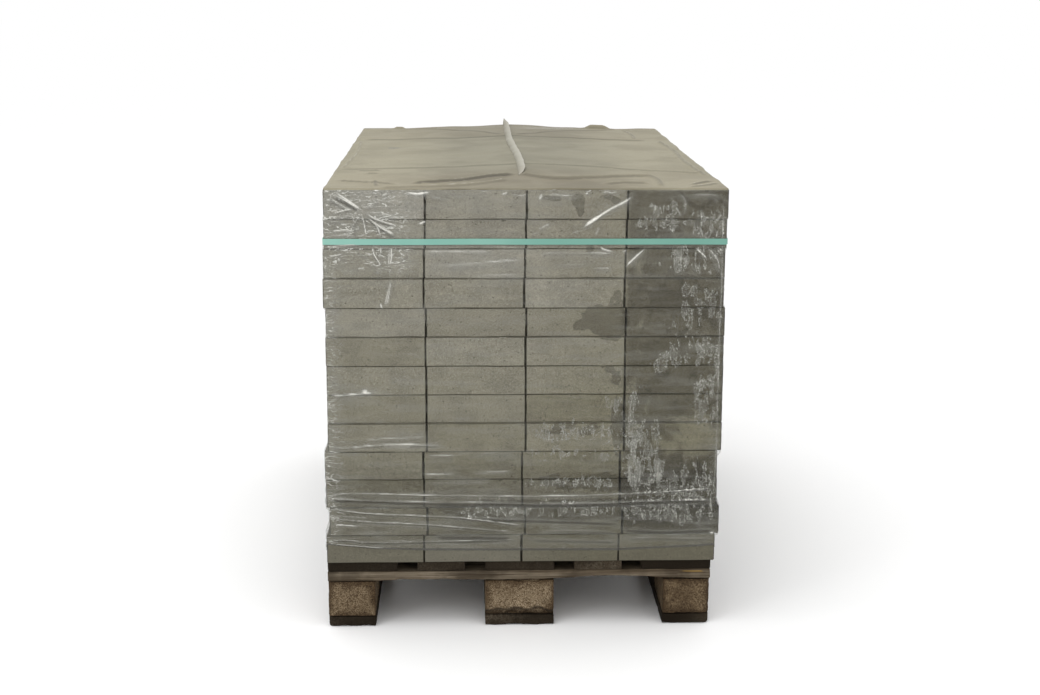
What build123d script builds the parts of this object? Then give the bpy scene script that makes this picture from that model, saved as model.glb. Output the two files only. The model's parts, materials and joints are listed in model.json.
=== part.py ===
# A pallet of concrete pavers under a clear film hood, held by one strap.
# Millimetres, +Z up, front towards -Y. The origin is on the floor, under the middle of the load.

import os

from build123d import *

# Paver: a pressed concrete block with a small bevel around its top face
PAVER_LENGTH = 200.0
PAVER_WIDTH = 100.0
PAVER_HEIGHT = 60.0
PAVER_BEVEL = 2.0

# Load: layers of pavers laid in rows, each layer pushed a little out of line
PAVERS_ACROSS = 4
PAVERS_DEEP = 12
LAYER_COUNT = 13
PAVER_JOINT = 1.5
JOG_ACROSS = 5.0
JOG_DEEP = 3.0
# Layers from the bottom up
JOG_ACROSS_SHARES = (-1.0, 0.4, -0.8, -1.0, 0.4, 0.4, 0.4, 0.2, 0.4, -0.4, -0.2, 0.2, 0.4)
JOG_DEEP_SHARES = (0.2, -0.4, 0.6, -0.2, -0.9, 0.4, 0.0, -0.5, 0.3, -0.7, 0.5, 0.9, -0.3)

# Pallet: four-way block pallet, its top boards running from front to back
PALLET_WIDTH = 800.0
PALLET_LENGTH = 1200.0
PALLET_SHIFT = -8.0
TOP_BOARD_WIDE = 145.0
TOP_BOARD_NARROW = 100.0
TOP_BOARD_THICKNESS = 22.0
CROSS_BOARD_WIDTH = 145.0
CROSS_BOARD_THICKNESS = 22.0
BLOCK_LENGTH = 145.0
BLOCK_HEIGHT = 78.0
FOOT_WIDTH_SIDE = 100.0
FOOT_WIDTH_CENTRE = 145.0
BOTTOM_BOARD_THICKNESS = 22.0
CORNER_CUT = 10.0
WORN_EDGE_RADIUS = 7.0

# Film hood: a thin bag over the load, open below, with a welded seam standing along its top
FILM_WALL = 0.6
FILM_CLEARANCE = 0.75
FILM_HEM_RISE = 28.0
FILM_RIDGE_RISE = 14.0
FILM_RIDGE_HALF_WIDTH = 280.0
SEAM_HEIGHT = 20.0
SEAM_THICKNESS = 1.2
SEAM_SETBACK = 220.0

# Strap: a flat plastic band pulled around the hood
STRAP_WIDTH = 12.0
STRAP_THICKNESS = 0.8
STRAP_RISE_SHARE = 0.865

OVERRUN = 20.0

# Heights above the floor
BLOCK_Z = BOTTOM_BOARD_THICKNESS
CROSS_BOARD_Z = BLOCK_Z + BLOCK_HEIGHT
TOP_BOARD_Z = CROSS_BOARD_Z + CROSS_BOARD_THICKNESS
LOAD_Z = TOP_BOARD_Z + TOP_BOARD_THICKNESS
LOAD_HEIGHT = LAYER_COUNT * PAVER_HEIGHT
LOAD_TOP_Z = LOAD_Z + LOAD_HEIGHT

# Load and hood in plan
PITCH_ACROSS = PAVER_LENGTH + PAVER_JOINT
PITCH_DEEP = PAVER_WIDTH + PAVER_JOINT
LOAD_WIDTH = PAVERS_ACROSS * PITCH_ACROSS - PAVER_JOINT
LOAD_DEPTH = PAVERS_DEEP * PITCH_DEEP - PAVER_JOINT
HOOD_HALF_WIDTH = LOAD_WIDTH / 2 + JOG_ACROSS + FILM_CLEARANCE
HOOD_HALF_DEPTH = LOAD_DEPTH / 2 + JOG_DEEP + FILM_CLEARANCE

STANDING = (Align.CENTER, Align.CENTER, Align.MIN)


def slab(width, length, height, x, y, z):
    """A box standing on height z with its middle over (x, y)."""
    return Pos(x, y, z) * Box(width, length, height, align=STANDING)


def corner_cutter(side, end, bottom, height):
    """A prism that takes the upright corner off the pallet at one side and one end."""
    corner_x = PALLET_SHIFT + side * PALLET_WIDTH / 2
    corner_y = end * PALLET_LENGTH / 2
    prism = Rot(0, 0, 45) * Box(CORNER_CUT * 2**0.5, CORNER_CUT * 2**0.5, height, align=STANDING)
    return Pos(corner_x, corner_y, bottom) * prism


def paver():
    """One paver, standing on z = 0."""
    block = slab(PAVER_LENGTH, PAVER_WIDTH, PAVER_HEIGHT, 0, 0, 0)
    top = block.faces().sort_by(Axis.Z)[-1]
    return chamfer(top.edges(), PAVER_BEVEL)


def paver_layer(index):
    """One layer of pavers, in rows that stay clear of each other by the joint."""
    jog_x = JOG_ACROSS * JOG_ACROSS_SHARES[index % len(JOG_ACROSS_SHARES)]
    jog_y = JOG_DEEP * JOG_DEEP_SHARES[index % len(JOG_DEEP_SHARES)]
    places = GridLocations(PITCH_ACROSS, PITCH_DEEP, PAVERS_ACROSS, PAVERS_DEEP)
    layer = Pos(jog_x, jog_y, LOAD_Z + index * PAVER_HEIGHT)
    one = paver()
    return Compound(children=[layer * place * one for place in places])


def top_boards():
    """Five boards from front to back, wide and narrow in turn, with even gaps."""
    widths = (TOP_BOARD_WIDE, TOP_BOARD_NARROW, TOP_BOARD_WIDE, TOP_BOARD_NARROW, TOP_BOARD_WIDE)
    gap = (PALLET_WIDTH - sum(widths)) / (len(widths) - 1)
    left = PALLET_SHIFT - PALLET_WIDTH / 2
    boards = []
    for width in widths:
        middle = left + width / 2
        boards.append(slab(width, PALLET_LENGTH, TOP_BOARD_THICKNESS, middle, 0, TOP_BOARD_Z))
        left += width + gap
    return boards


def cross_board(end):
    """A board from side to side, flush with one end of the pallet or in its middle."""
    middle = end * (PALLET_LENGTH - CROSS_BOARD_WIDTH) / 2
    return slab(PALLET_WIDTH, CROSS_BOARD_WIDTH, CROSS_BOARD_THICKNESS, PALLET_SHIFT, middle, CROSS_BOARD_Z)


def foot_place(side):
    """Width of a row of feet and where its middle line is, at one side or in the centre."""
    width = FOOT_WIDTH_SIDE if side else FOOT_WIDTH_CENTRE
    return width, PALLET_SHIFT + side * (PALLET_WIDTH - width) / 2


def block(side, end):
    """A pressed wood-chip block between a bottom board and a cross board."""
    width, x = foot_place(side)
    y = end * (PALLET_LENGTH - BLOCK_LENGTH) / 2
    shape = slab(width, BLOCK_LENGTH, BLOCK_HEIGHT, x, y, BLOCK_Z)
    if side and end:
        shape -= corner_cutter(side, end, BLOCK_Z, BLOCK_HEIGHT)
    return shape


def bottom_board(side):
    """A runner along one row of blocks; the outer two have cut corners and a worn lower edge."""
    width, x = foot_place(side)
    shape = slab(width, PALLET_LENGTH, BOTTOM_BOARD_THICKNESS, x, 0, 0)
    if side:
        lower_edges = shape.faces().sort_by(Axis.Z)[0].edges().filter_by(Axis.Y)
        outer_edge = lower_edges.sort_by(Axis.X)[-1 if side > 0 else 0]
        shape = fillet(outer_edge, WORN_EDGE_RADIUS)
        for end in (-1, 1):
            shape -= corner_cutter(side, end, 0, BOTTOM_BOARD_THICKNESS)
    return shape


def hip_cutter(wall):
    """What stands above the slope from the hood's straight front edge up to the seam's front end."""
    front = -(HOOD_HALF_DEPTH + wall)
    eaves = LOAD_TOP_Z + wall
    ridge_start = front + SEAM_SETBACK
    outside = front - OVERRUN
    above = eaves + FILM_RIDGE_RISE + OVERRUN
    slope = (front, eaves), (ridge_start, eaves + FILM_RIDGE_RISE)
    outline = Polyline(*slope, (ridge_start, above), (outside, above), (outside, eaves), close=True)
    return extrude(Plane.YZ * make_face(outline), HOOD_HALF_WIDTH + wall + OVERRUN, both=True)


def hood_block(wall, bottom):
    """The space inside the hood grown by a wall, from a given height up to its ridged top."""
    half_width = HOOD_HALF_WIDTH + wall
    eaves = LOAD_TOP_Z + wall
    outline = Polyline(
        (-half_width, bottom),
        (half_width, bottom),
        (half_width, eaves),
        (FILM_RIDGE_HALF_WIDTH, eaves),
        (0, eaves + FILM_RIDGE_RISE),
        (-FILM_RIDGE_HALF_WIDTH, eaves),
        (-half_width, eaves),
        close=True,
    )
    ridged = extrude(Plane.XZ * make_face(outline), HOOD_HALF_DEPTH + wall, both=True)
    return ridged - hip_cutter(wall)


def film_hood():
    """The hood: five thin walls, with the two-layer seam welded on along the ridge."""
    hem = LOAD_Z + FILM_HEM_RISE
    back = HOOD_HALF_DEPTH + FILM_WALL
    seam_length = 2 * back - SEAM_SETBACK
    seam_bottom = LOAD_TOP_Z + FILM_RIDGE_RISE
    seam = slab(SEAM_THICKNESS, seam_length, SEAM_HEIGHT, 0, back - seam_length / 2, seam_bottom)
    return hood_block(FILM_WALL, hem) + seam - hood_block(0, hem - OVERRUN)


def strap():
    """The band: a closed loop lying on the hood's four sides."""
    inner_width = 2 * (HOOD_HALF_WIDTH + FILM_WALL)
    inner_depth = 2 * (HOOD_HALF_DEPTH + FILM_WALL)
    bottom = LOAD_Z + LOAD_HEIGHT * STRAP_RISE_SHARE - STRAP_WIDTH / 2
    outer_width = inner_width + 2 * STRAP_THICKNESS
    outer_depth = inner_depth + 2 * STRAP_THICKNESS
    band = slab(outer_width, outer_depth, STRAP_WIDTH, 0, 0, bottom)
    return band - slab(inner_width, inner_depth, STRAP_WIDTH + 2 * OVERRUN, 0, 0, bottom - OVERRUN)


def all_pieces():
    """Every piece by its name."""
    pieces = {}
    sides = {"left": -1, "centre": 0, "right": 1}
    ends = {"front": -1, "middle": 0, "back": 1}
    for side_name, side in sides.items():
        pieces[f"bottom_board_{side_name}"] = bottom_board(side)
        for end_name, end in ends.items():
            pieces[f"block_{end_name}_{side_name}"] = block(side, end)
    for end_name, end in ends.items():
        pieces[f"cross_board_{end_name}"] = cross_board(end)
    for number, board in enumerate(top_boards(), 1):
        pieces[f"top_board_{number}"] = board
    for index in range(LAYER_COUNT):
        pieces[f"paver_layer_{index + 1:02d}"] = paver_layer(index)
    pieces["film_hood"] = film_hood()
    pieces["strap"] = strap()
    return pieces


os.makedirs("parts", exist_ok=True)
for name, shape in all_pieces().items():
    export_step(shape, f"parts/{name}.step")
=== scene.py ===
import itertools
import json
import math

import bmesh
import bpy
import numpy as np
from mathutils import Matrix, Vector, noise

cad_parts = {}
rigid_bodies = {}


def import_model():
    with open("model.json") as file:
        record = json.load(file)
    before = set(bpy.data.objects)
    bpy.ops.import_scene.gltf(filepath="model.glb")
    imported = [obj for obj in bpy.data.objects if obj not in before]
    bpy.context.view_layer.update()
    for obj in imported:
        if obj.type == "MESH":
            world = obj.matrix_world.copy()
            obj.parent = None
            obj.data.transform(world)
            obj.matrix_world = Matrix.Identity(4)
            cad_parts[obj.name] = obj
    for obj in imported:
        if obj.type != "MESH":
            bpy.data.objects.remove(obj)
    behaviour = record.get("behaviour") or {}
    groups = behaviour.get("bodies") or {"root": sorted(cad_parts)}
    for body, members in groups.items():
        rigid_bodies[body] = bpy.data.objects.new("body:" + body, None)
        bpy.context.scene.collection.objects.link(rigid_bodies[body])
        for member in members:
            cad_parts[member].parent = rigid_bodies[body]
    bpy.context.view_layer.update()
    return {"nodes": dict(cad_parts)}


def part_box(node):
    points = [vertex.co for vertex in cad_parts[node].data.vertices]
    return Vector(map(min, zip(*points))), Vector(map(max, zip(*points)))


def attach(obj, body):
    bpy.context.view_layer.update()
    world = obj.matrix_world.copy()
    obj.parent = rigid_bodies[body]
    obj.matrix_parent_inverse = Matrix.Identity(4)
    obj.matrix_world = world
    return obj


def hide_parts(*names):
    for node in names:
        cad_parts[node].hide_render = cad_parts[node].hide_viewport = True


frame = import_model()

# Pallet boards: rough sawn spruce in three crossing courses, nailed through the blocks.
# The saw leaves them square. Forks and wet yards wear their edges round and chip them, and turn
# the wood grey-brown. Cut ends and the boards by the ground stay dark with damp, and painted shade
# darkens the top boards' ends under the load and a split in a bottom board.

MM = 0.001


def hex_colour(code):
    """The linear colour of an sRGB hex value."""
    shares = [int(code[i : i + 2], 16) / 255 for i in (0, 2, 4)]
    return (*[s / 12.92 if s <= 0.04045 else ((s + 0.055) / 1.055) ** 2.4 for s in shares], 1)


def add(tree, kind, inputs=(), **settings):
    """Adds a node with its settings, values and links, and gives its first output in use."""
    node = tree.nodes.new(kind)
    for name, value in settings.items():
        setattr(node, name, value)
    for key, value in dict(inputs).items():
        by_name = [s for s in node.inputs if s.enabled and s.name == key]
        socket = by_name[0] if by_name else node.inputs[key]
        if isinstance(value, bpy.types.NodeSocket):
            tree.links.new(value, socket)
        else:
            socket.default_value = value
    return next((s for s in node.outputs if s.enabled), None)


def finish_start(name):
    """A new material, its empty node tree and the place on the object that its patterns read."""
    material = bpy.data.materials.new(name)
    material.use_nodes = True
    tree = material.node_tree
    tree.nodes.clear()
    place = add(tree, "ShaderNodeTexCoord").node.outputs["Object"]
    return material, tree, place


def finish_end(tree, look):
    """Closes a material's tree with one surface of this look."""
    shader = add(tree, "ShaderNodeBsdfPrincipled", look)
    add(tree, "ShaderNodeOutputMaterial", {"Surface": shader})


def tinted(tree, colour, tints, blend="MIX"):
    """Blends tints into a colour: each fades in as its pattern goes from low to high, up to a share."""
    for pattern, low, high, most, tint in tints:
        fade = {"Value": pattern, "From Min": low, "From Max": high, "To Max": most}
        share = add(tree, "ShaderNodeMapRange", fade, interpolation_type="SMOOTHSTEP")
        coat = {"Factor": share, "A": colour, "B": hex_colour(tint)}
        colour = add(tree, "ShaderNodeMix", coat, data_type="RGBA", blend_type=blend)
    return colour


def sawn_spruce(name, along):
    """Weathered spruce: grey fibres over brown, dark stains, and nearly black with damp and with painted
    shade.
    """
    material, tree, place = finish_start(name)
    fibre_width, fibre_length, fibre_depth = 3 * MM, 160 * MM, 1.2 * MM
    year_width, year_length, stain_size = 13 * MM, 640 * MM, 75 * MM
    grain = []
    for width, length, detail, roughness in (
        (fibre_width, fibre_length, 5, 0.65),
        (year_width, year_length, 2, 0.5),
    ):
        stretch = [1 / width] * 3
        stretch[along] = 1 / length
        stretched = add(tree, "ShaderNodeMapping", {"Vector": place, "Scale": stretch})
        streaks = {"Vector": stretched, "Scale": 1, "Detail": detail, "Roughness": roughness}
        grain.append(add(tree, "ShaderNodeTexNoise", streaks))
    fibres, years = grain
    stains = add(tree, "ShaderNodeTexNoise", {"Vector": place, "Scale": 1 / stain_size, "Detail": 4})
    tone, damp_and_shade, fresh = [
        add(tree, "ShaderNodeAttribute", attribute_name=mark).node.outputs["Fac"]
        for mark in ("board_tone", "damp_and_shade", "fresh")
    ]
    split = add(tree, "ShaderNodeMath", {0: fresh, 1: fibres}, operation="MULTIPLY")
    wood = tinted(tree, hex_colour("3b3126"), [
        (fibres, 0.34, 0.68, 1, "867b6a"),
        (years, 0.42, 0.62, 0.5, "4d4030"),
        (tone, 0, 1, 0.45, "5f5546"),
        (stains, 0.44, 0.66, 0.6, "2d251c"),
        (split, 0.3, 0.5, 0.9, "94773f"),
        # Damp, and painted shade on the top boards' ends and in a split, make it nearly black
        (damp_and_shade, 0, 1, 1, "1b150d"),
    ])
    bump = add(tree, "ShaderNodeBump", {"Height": fibres, "Strength": 0.7, "Distance": fibre_depth})
    look = {"Base Color": wood, "Roughness": 0.82, "Specular IOR Level": 0.1, "Normal": bump}
    finish_end(tree, look)
    return material


def mesh_piece(name, points, faces, material):
    """A new object at the origin with this mesh and material."""
    mesh = bpy.data.meshes.new(name)
    mesh.from_pydata([tuple(p) for p in points], [], [tuple(f) for f in faces])
    mesh.update()
    mesh.materials.append(material)
    piece = bpy.data.objects.new(name, mesh)
    bpy.context.scene.collection.objects.link(piece)
    return piece


def spread(low, high, step, margins):
    """Places from low to high about a step apart, with closer ones by both ends."""
    count = max(1, round((high - low - 2 * margins[-1]) / step))
    inner = np.linspace(low + margins[-1], high - margins[-1], count + 1)
    close = np.array(margins[:-1])
    return np.concatenate([low + close, inner, high - close[::-1]])


def gridded_box(axes):
    """Points and outward quads of a closed box whose faces are grids over these places."""
    counts = [len(a) for a in axes]
    index, points, faces = {}, [], []
    for axis in range(3):
        first, second = (axis + 1) % 3, (axis + 2) % 3
        for end in (0, counts[axis] - 1):
            for i, j in itertools.product(range(counts[first] - 1), range(counts[second] - 1)):
                ring = []
                for di, dj in ((0, 0), (1, 0), (1, 1), (0, 1)):
                    key = [0, 0, 0]
                    key[axis], key[first], key[second] = end, i + di, j + dj
                    key = tuple(key)
                    if key not in index:
                        index[key] = len(points)
                        points.append([axes[k][key[k]] for k in range(3)])
                    ring.append(index[key])
                faces.append(ring if end else ring[::-1])
    return np.array(points), faces


def noise_at(points, size, seed):
    """Smooth noise from -1 to 1 at each point, with features of about this size."""
    shift = Vector((seed * 13.1, seed * 7.7, seed * 3.3))
    return np.array([noise.noise(Vector(p) / size + shift) for p in points])


def worn(points, low, high, radius, chip, rough, seed):
    """Rounds a box's edges unevenly, chips them in places and roughens its faces, all inwards."""
    wear_size, chip_size, dent_size, chips_from, most_share = 55 * MM, 24 * MM, 9 * MM, 0.28, 0.45
    low, high = np.array(low), np.array(high)
    wear = radius * (1 + 0.6 * noise_at(points, wear_size, seed))
    wear += chip * np.clip(noise_at(points, chip_size, seed + 1) - chips_from, 0, None) * 3
    wear = np.minimum(wear, most_share * (high - low).min())[:, None]
    core = np.clip(points, low + wear, high - wear)
    out = points - core
    normal = out / np.maximum(np.linalg.norm(out, axis=1, keepdims=True), 1e-9)
    dent = rough * (0.5 + 0.5 * noise_at(points, dent_size, seed + 2))[:, None]
    return core + normal * (wear - dent)


def bell(shares):
    """1 where the shares are 0, falling away smoothly on both sides."""
    return np.exp(-(shares**2))


def give(piece, name, values, domain="POINT"):
    """Stores one value a point (or a face) on a piece, for its material to read."""
    attribute = piece.data.attributes.new(name, "FLOAT", domain)
    attribute.data.foreach_set("value", np.asarray(values, np.float32))


def cut_back(points, first, second, radius):
    """Rounds one edge of a box, given as two (axis, place, inward sign), to a radius."""
    inside = [(points[:, axis] - edge) * sign for axis, edge, sign in (first, second)]
    short = [np.clip(1 - part / radius, 0, None) for part in inside]
    over = np.hypot(*short)
    shift = np.where((short[0] > 0) & (short[1] > 0) & (over > 1), 1 - 1 / np.maximum(over, 1e-9), 0)
    for (axis, _, sign), part in zip((first, second), short):
        points[:, axis] += sign * radius * part * shift


spruce = [
    sawn_spruce("spruce, rough sawn, grain side to side", 0),
    sawn_spruce("spruce, rough sawn, grain front to back", 1),
]
board_step, board_margins = 15 * MM, np.array([0, 1.2, 3.0, 6.0]) * MM
edge_wear, edge_chip, saw_marks = 2.2 * MM, 5 * MM, 0.9 * MM
damp_reach, skin = 26 * MM, 1 * MM
# How dark the ends are with damp, and on the top boards also with painted shade from the load
# above: of the top boards by their number, and of the others
end_damp_and_shade, other_end_damp = {"1": 0.85, "2": 0.7, "3": 0.75, "4": 0.55, "5": 0.9}, 0.3
board_names = sorted(n for n in frame["nodes"] if "board" in n)
for seed, node in enumerate(board_names):
    low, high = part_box(node)
    along = 0 if (high - low).x > (high - low).y else 1
    flat, faces = gridded_box([spread(low[i], high[i], board_step, board_margins) for i in range(3)])
    points = worn(flat, low, high, edge_wear, edge_chip, saw_marks, 11 * seed)
    from_end = np.minimum(flat[:, along] - low[along], high[along] - flat[:, along])
    by_end = np.clip(1 - from_end / damp_reach, 0, 1)
    damp_and_shade = end_damp_and_shade.get(node[-1], other_end_damp) * by_end
    fresh = np.zeros(len(flat))
    if "bottom" in node:
        stain_size, tear_size, tear_height, tear_zone = 60 * MM, 7 * MM, 5 * MM, 4 * MM
        ground_damp = 0.74 if "centre" in node else 0.86
        damp_and_shade = np.maximum(damp_and_shade, ground_damp + 0.3 * noise_at(flat, stain_size, seed))
        # Their lower edges are split and ragged at both ends
        torn = np.clip(noise_at(flat * [1, 1, 0], tear_size, seed + 50) + 0.2, 0, None) * by_end
        points[:, 2] += tear_height * torn * (flat[:, 2] < low.z + tear_zone)
    side = {"left": -1, "right": 1}.get(node.split("_")[-1], 0)
    if side:
        # Forks and stones have worn the outer feet round
        lower_radius, corner_radius, end_radius = 9 * MM, 14 * MM, 6 * MM
        outer = (0, low.x if side < 0 else high.x, -side)
        cut_back(points, outer, (2, low.z, 1), lower_radius)
        for end in ((1, low.y, 1), (1, high.y, -1)):
            cut_back(points, outer, end, corner_radius)
            cut_back(points, end, (2, low.z, 1), end_radius)
    if node == "bottom_board_centre":
        # It has split along its middle at the front, and painted shade darkens the split
        split_x, split_width, split_length, split_depth, split_height = np.array([-13, 3, 90, 9, 5]) * MM
        split = bell((flat[:, 0] - split_x) / split_width)
        split *= np.clip(1 - (flat[:, 1] - low.y) / split_length, 0, 1)
        points[:, 1] += split_depth * split * (flat[:, 1] < low.y + skin)
        points[:, 2] += split_height * split * (flat[:, 2] < low.z + skin)
        damp_and_shade = np.maximum(damp_and_shade, split)
    if node == "cross_board_front":
        # Bark was left along the lower front edge, so it thins there, most on the right
        wane_x = np.array([-410, -330, -200, -80, 40, 80, 160, 250, 300, 400]) * MM
        wane_rise = np.array([0, 1, 3, 1.5, 1, 4, 8, 7, 2, 0]) * MM
        wane_depth, wane_height, wane_rough, wane_rough_size = 40 * MM, 18 * MM, 1.2 * MM, 22 * MM
        wane = np.interp(flat[:, 0], wane_x, wane_rise)
        wane += wane_rough * noise_at(flat * [1, 0, 0], wane_rough_size, 5)
        height = flat[:, 2] - low.z
        depth = np.clip(1 - (flat[:, 1] - low.y) / wane_depth, 0, 1)
        points[:, 2] += wane * depth * np.clip(1 - height / wane_height, 0, 1)
        # A splinter has split off at the right and shows fresh wood
        splinter_left, splinter_right, splinter_point = 322 * MM, 386 * MM, 6 * MM
        splinter_height, splinter_width, splinter_depth = 16 * MM, 3 * MM, 2 * MM
        inside = np.clip((flat[:, 0] - splinter_left) / splinter_point, 0, 1)
        inside *= np.clip((splinter_right - flat[:, 0]) / splinter_point, 0, 1)
        on_front = flat[:, 1] < low.y + skin
        fresh = inside * on_front * bell((height - splinter_height) / splinter_width)
        points[:, 1] += splinter_depth * fresh
    board = mesh_piece(f"sawn_{node}", points, faces, spruce[along])
    give(board, "damp_and_shade", np.clip(damp_and_shade, 0, 1))
    give(board, "board_tone", np.full(len(flat), (seed * 0.37) % 1.0))
    give(board, "fresh", fresh)
    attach(board, "root")
    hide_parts(node)

# Blocks: wood chips and glue pressed into a bar and sawn to length, nailed between the boards.
# Pale and brown chips lie every way, with dark glue and pores between them, and corners crumble.


def pressed_chips():
    """Chips a few millimetres wide in mixed browns, with dark pores and a crumbly relief."""
    material, tree, place = finish_start("wood chips, pressed and glued")
    chip_size, crumb_size, stain_size = 3.6 * MM, 1.8 * MM, 60 * MM
    edges = {"Vector": place, "Scale": 1 / chip_size, "Detail": 3, "Roughness": 0.7}
    flakes = add(tree, "ShaderNodeTexNoise", edges)
    crumbs = add(tree, "ShaderNodeTexNoise", {"Vector": place, "Scale": 1 / crumb_size, "Detail": 2})
    stains = add(tree, "ShaderNodeTexNoise", {"Vector": place, "Scale": 1 / stain_size, "Detail": 3})
    broken, tone, grime_and_shade = [
        add(tree, "ShaderNodeAttribute", attribute_name=mark).node.outputs["Fac"]
        for mark in ("broken", "block_tone", "grime_and_shade")
    ]
    brown = tinted(tree, hex_colour("5b4b38"), [
        (flakes, 0.4, 0.6, 1, "7f6f58"),
        (crumbs, 0.5, 0.66, 0.8, "a8987f"),
        (flakes, 0.43, 0.3, 0.7, "3a2e21"),
        (stains, 0.45, 0.7, 0.5, "4b3b28"),
        # Painted shade in the break across the front centre block
        (broken, 0, 1, 1, "1a120b"),
    ])
    # Multiplied in: a tone for each block, and dirt with painted shade along its edges
    brown = tinted(tree, brown, [
        (tone, 0, 1, 1, "b5ab9c"),
        (grime_and_shade, 0, 1, 1, "a89d8e"),
    ], "MULTIPLY")
    bump = add(tree, "ShaderNodeBump", {"Height": flakes, "Strength": 0.8, "Distance": 2 * MM})
    look = {"Base Color": brown, "Roughness": 0.88, "Specular IOR Level": 0.2, "Normal": bump}
    finish_end(tree, look)
    return material


chips = pressed_chips()
block_step, block_margins = 6 * MM, np.array([0, 1.5, 3.5]) * MM
block_wear, block_chip, block_rough, corner_radius = 3.2 * MM, 9 * MM, 2.2 * MM, 13 * MM
grime_reach, grime_size = 20 * MM, 22 * MM
block_tones = {"left": 0.5, "centre": 0.15, "right": 0.7}
for seed, node in enumerate(sorted(n for n in frame["nodes"] if n.startswith("block_"))):
    low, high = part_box(node)
    flat, faces = gridded_box([spread(low[i], high[i], block_step, block_margins) for i in range(3)])
    points = worn(flat, low, high, block_wear, block_chip, block_rough, 100 + 7 * seed)
    _, end, place = node.split("_")
    if place != "centre" and end != "middle":
        side = -1 if place == "left" else 1
        outer = (0, low.x if side < 0 else high.x, -side)
        cut_back(points, outer, (1, low.y, 1) if end == "front" else (1, high.y, -1), corner_radius)
    broken = np.zeros(len(flat))
    if node == "block_front_centre":
        # A ragged break across the lower front, where chips have come away, with painted shade in it
        break_height, break_sway, break_size = 14 * MM, 8 * MM, 26 * MM
        break_depth, break_reach, lip_width = 6 * MM, 12 * MM, 2.5 * MM
        height = flat[:, 2] - low.z
        line = break_height + break_sway * noise_at(flat * [1, 0, 0], break_size, 3)
        below = np.clip((line - height) / lip_width, 0, 1)
        front = np.clip(1 - (flat[:, 1] - low.y) / break_reach, 0, 1)
        points[:, 1] += break_depth * below * front
        lip = bell((height - line) / lip_width)
        broken = np.clip((0.45 * below + 0.7 * lip) * front, 0, 1)
    block = mesh_piece(f"chip_{node}", points, faces, chips)
    give(block, "broken", broken)
    # Dirt holds to the edges, and painted shade darkens them as well
    from_edge = np.sort(np.minimum(flat - low, np.array(high) - flat), axis=1)[:, 1]
    ragged = np.clip(1 + 1.2 * noise_at(flat, grime_size, 60 + seed), 0.15, None)
    give(block, "grime_and_shade", np.clip(1 - from_edge / (grime_reach * ragged), 0, 1))
    give(block, "block_tone", np.full(len(flat), block_tones[place]))
    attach(block, "root")
    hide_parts(node)

# Nails: drawn steel wire with a flat round head, two in each foot.
# They are driven up through the bottom boards into the blocks, so that only their heads show.


def wire_steel():
    """Dull grey steel with brown rust starting on it."""
    material, tree, place = finish_start("steel wire, drawn and weathered")
    rust_size = 4 * MM
    rust = add(tree, "ShaderNodeTexNoise", {"Vector": place, "Scale": 1 / rust_size, "Detail": 3})
    colour = tinted(tree, hex_colour("8b8680"), [(rust, 0.42, 0.62, 1, "5f3f28")])
    finish_end(tree, {"Base Color": colour, "Metallic": 0.7, "Roughness": 0.5})
    return material


def tree_start(name, inputs):
    """A new geometry tree and its inputs, given as a kind of socket with the names that have it."""
    tree = bpy.data.node_groups.new(name, "GeometryNodeTree")
    tree.interface.new_socket("Geometry", in_out="OUTPUT", socket_type="NodeSocketGeometry")
    for kind, titles in inputs.items():
        for title in titles:
            tree.interface.new_socket(title, in_out="INPUT", socket_type=f"NodeSocket{kind}")
    return tree, add(tree, "NodeGroupInput").node.outputs


def tree_end(tree, copies, material):
    """Closes a geometry tree: its copies become one mesh in one material."""
    solid = add(tree, "GeometryNodeRealizeInstances", {"Geometry": copies})
    painted = add(tree, "GeometryNodeSetMaterial", {"Geometry": solid, "Material": material})
    add(tree, "NodeGroupOutput", {0: painted})


def nail_tree():
    """Sets a round head at every point of a grid."""
    tree, given = tree_start("nail heads", {
        "Int": ("Rows", "Columns"),
        "Float": ("Row spread", "Column spread", "Head radius", "Head height"),
        "Vector": ("Middle",),
        "Material": ("Material",),
    })
    spans = {"Size X": given["Column spread"], "Size Y": given["Row spread"]}
    rows = {"Vertices X": given["Columns"], "Vertices Y": given["Rows"]}
    grid = add(tree, "GeometryNodeMeshGrid", {**spans, **rows})
    moved = add(tree, "GeometryNodeSetPosition", {"Geometry": grid, "Offset": given["Middle"]})
    shape = {"Vertices": 10, "Radius": given["Head radius"], "Depth": given["Head height"]}
    head = add(tree, "GeometryNodeMeshCylinder", shape)
    heads = add(tree, "GeometryNodeInstanceOnPoints", {"Points": moved, "Instance": head})
    tree_end(tree, heads, given["Material"])
    return tree


def made_by(name, tree, values):
    """A plain mesh object made by a geometry tree with these inputs."""
    piece = bpy.data.objects.new(name, bpy.data.meshes.new(name))
    bpy.context.scene.collection.objects.link(piece)
    modifier = piece.modifiers.new("make", "NODES")
    modifier.node_group = tree
    for item in tree.interface.items_tree:
        if item.name in values:
            modifier[item.identifier] = values[item.name]
    bpy.context.view_layer.update()
    ready = piece.evaluated_get(bpy.context.evaluated_depsgraph_get())
    mesh = bpy.data.meshes.new_from_object(ready)
    mesh.name = name
    piece.modifiers.remove(modifier)
    piece.data = mesh
    return piece


steel, heads = wire_steel(), nail_tree()
head_radius, head_height, head_middle = 4 * MM, 1.2 * MM, 0.7 * MM
for node in board_names:
    if node.startswith("bottom_board"):
        low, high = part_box(node)
        block_low, block_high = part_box(node.replace("bottom_board", "block_front"))
        nails = made_by(f"nails_{node}", heads, {
            "Rows": 3,
            "Columns": 2,
            "Row spread": (high.y - low.y) - (block_high.y - block_low.y),
            "Column spread": 0.5 * (high.x - low.x),
            "Head radius": head_radius,
            "Head height": head_height,
            "Middle": Vector(((low.x + high.x) / 2, (low.y + high.y) / 2, low.z + head_middle)),
            "Material": steel,
        })
        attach(nails, "root")

# Pavers: grey concrete pressed in a mould, laid dry in rows with a narrow joint.
# Their edges are chipped from handling. Rain that got in has soaked the front right corner dark.

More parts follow.
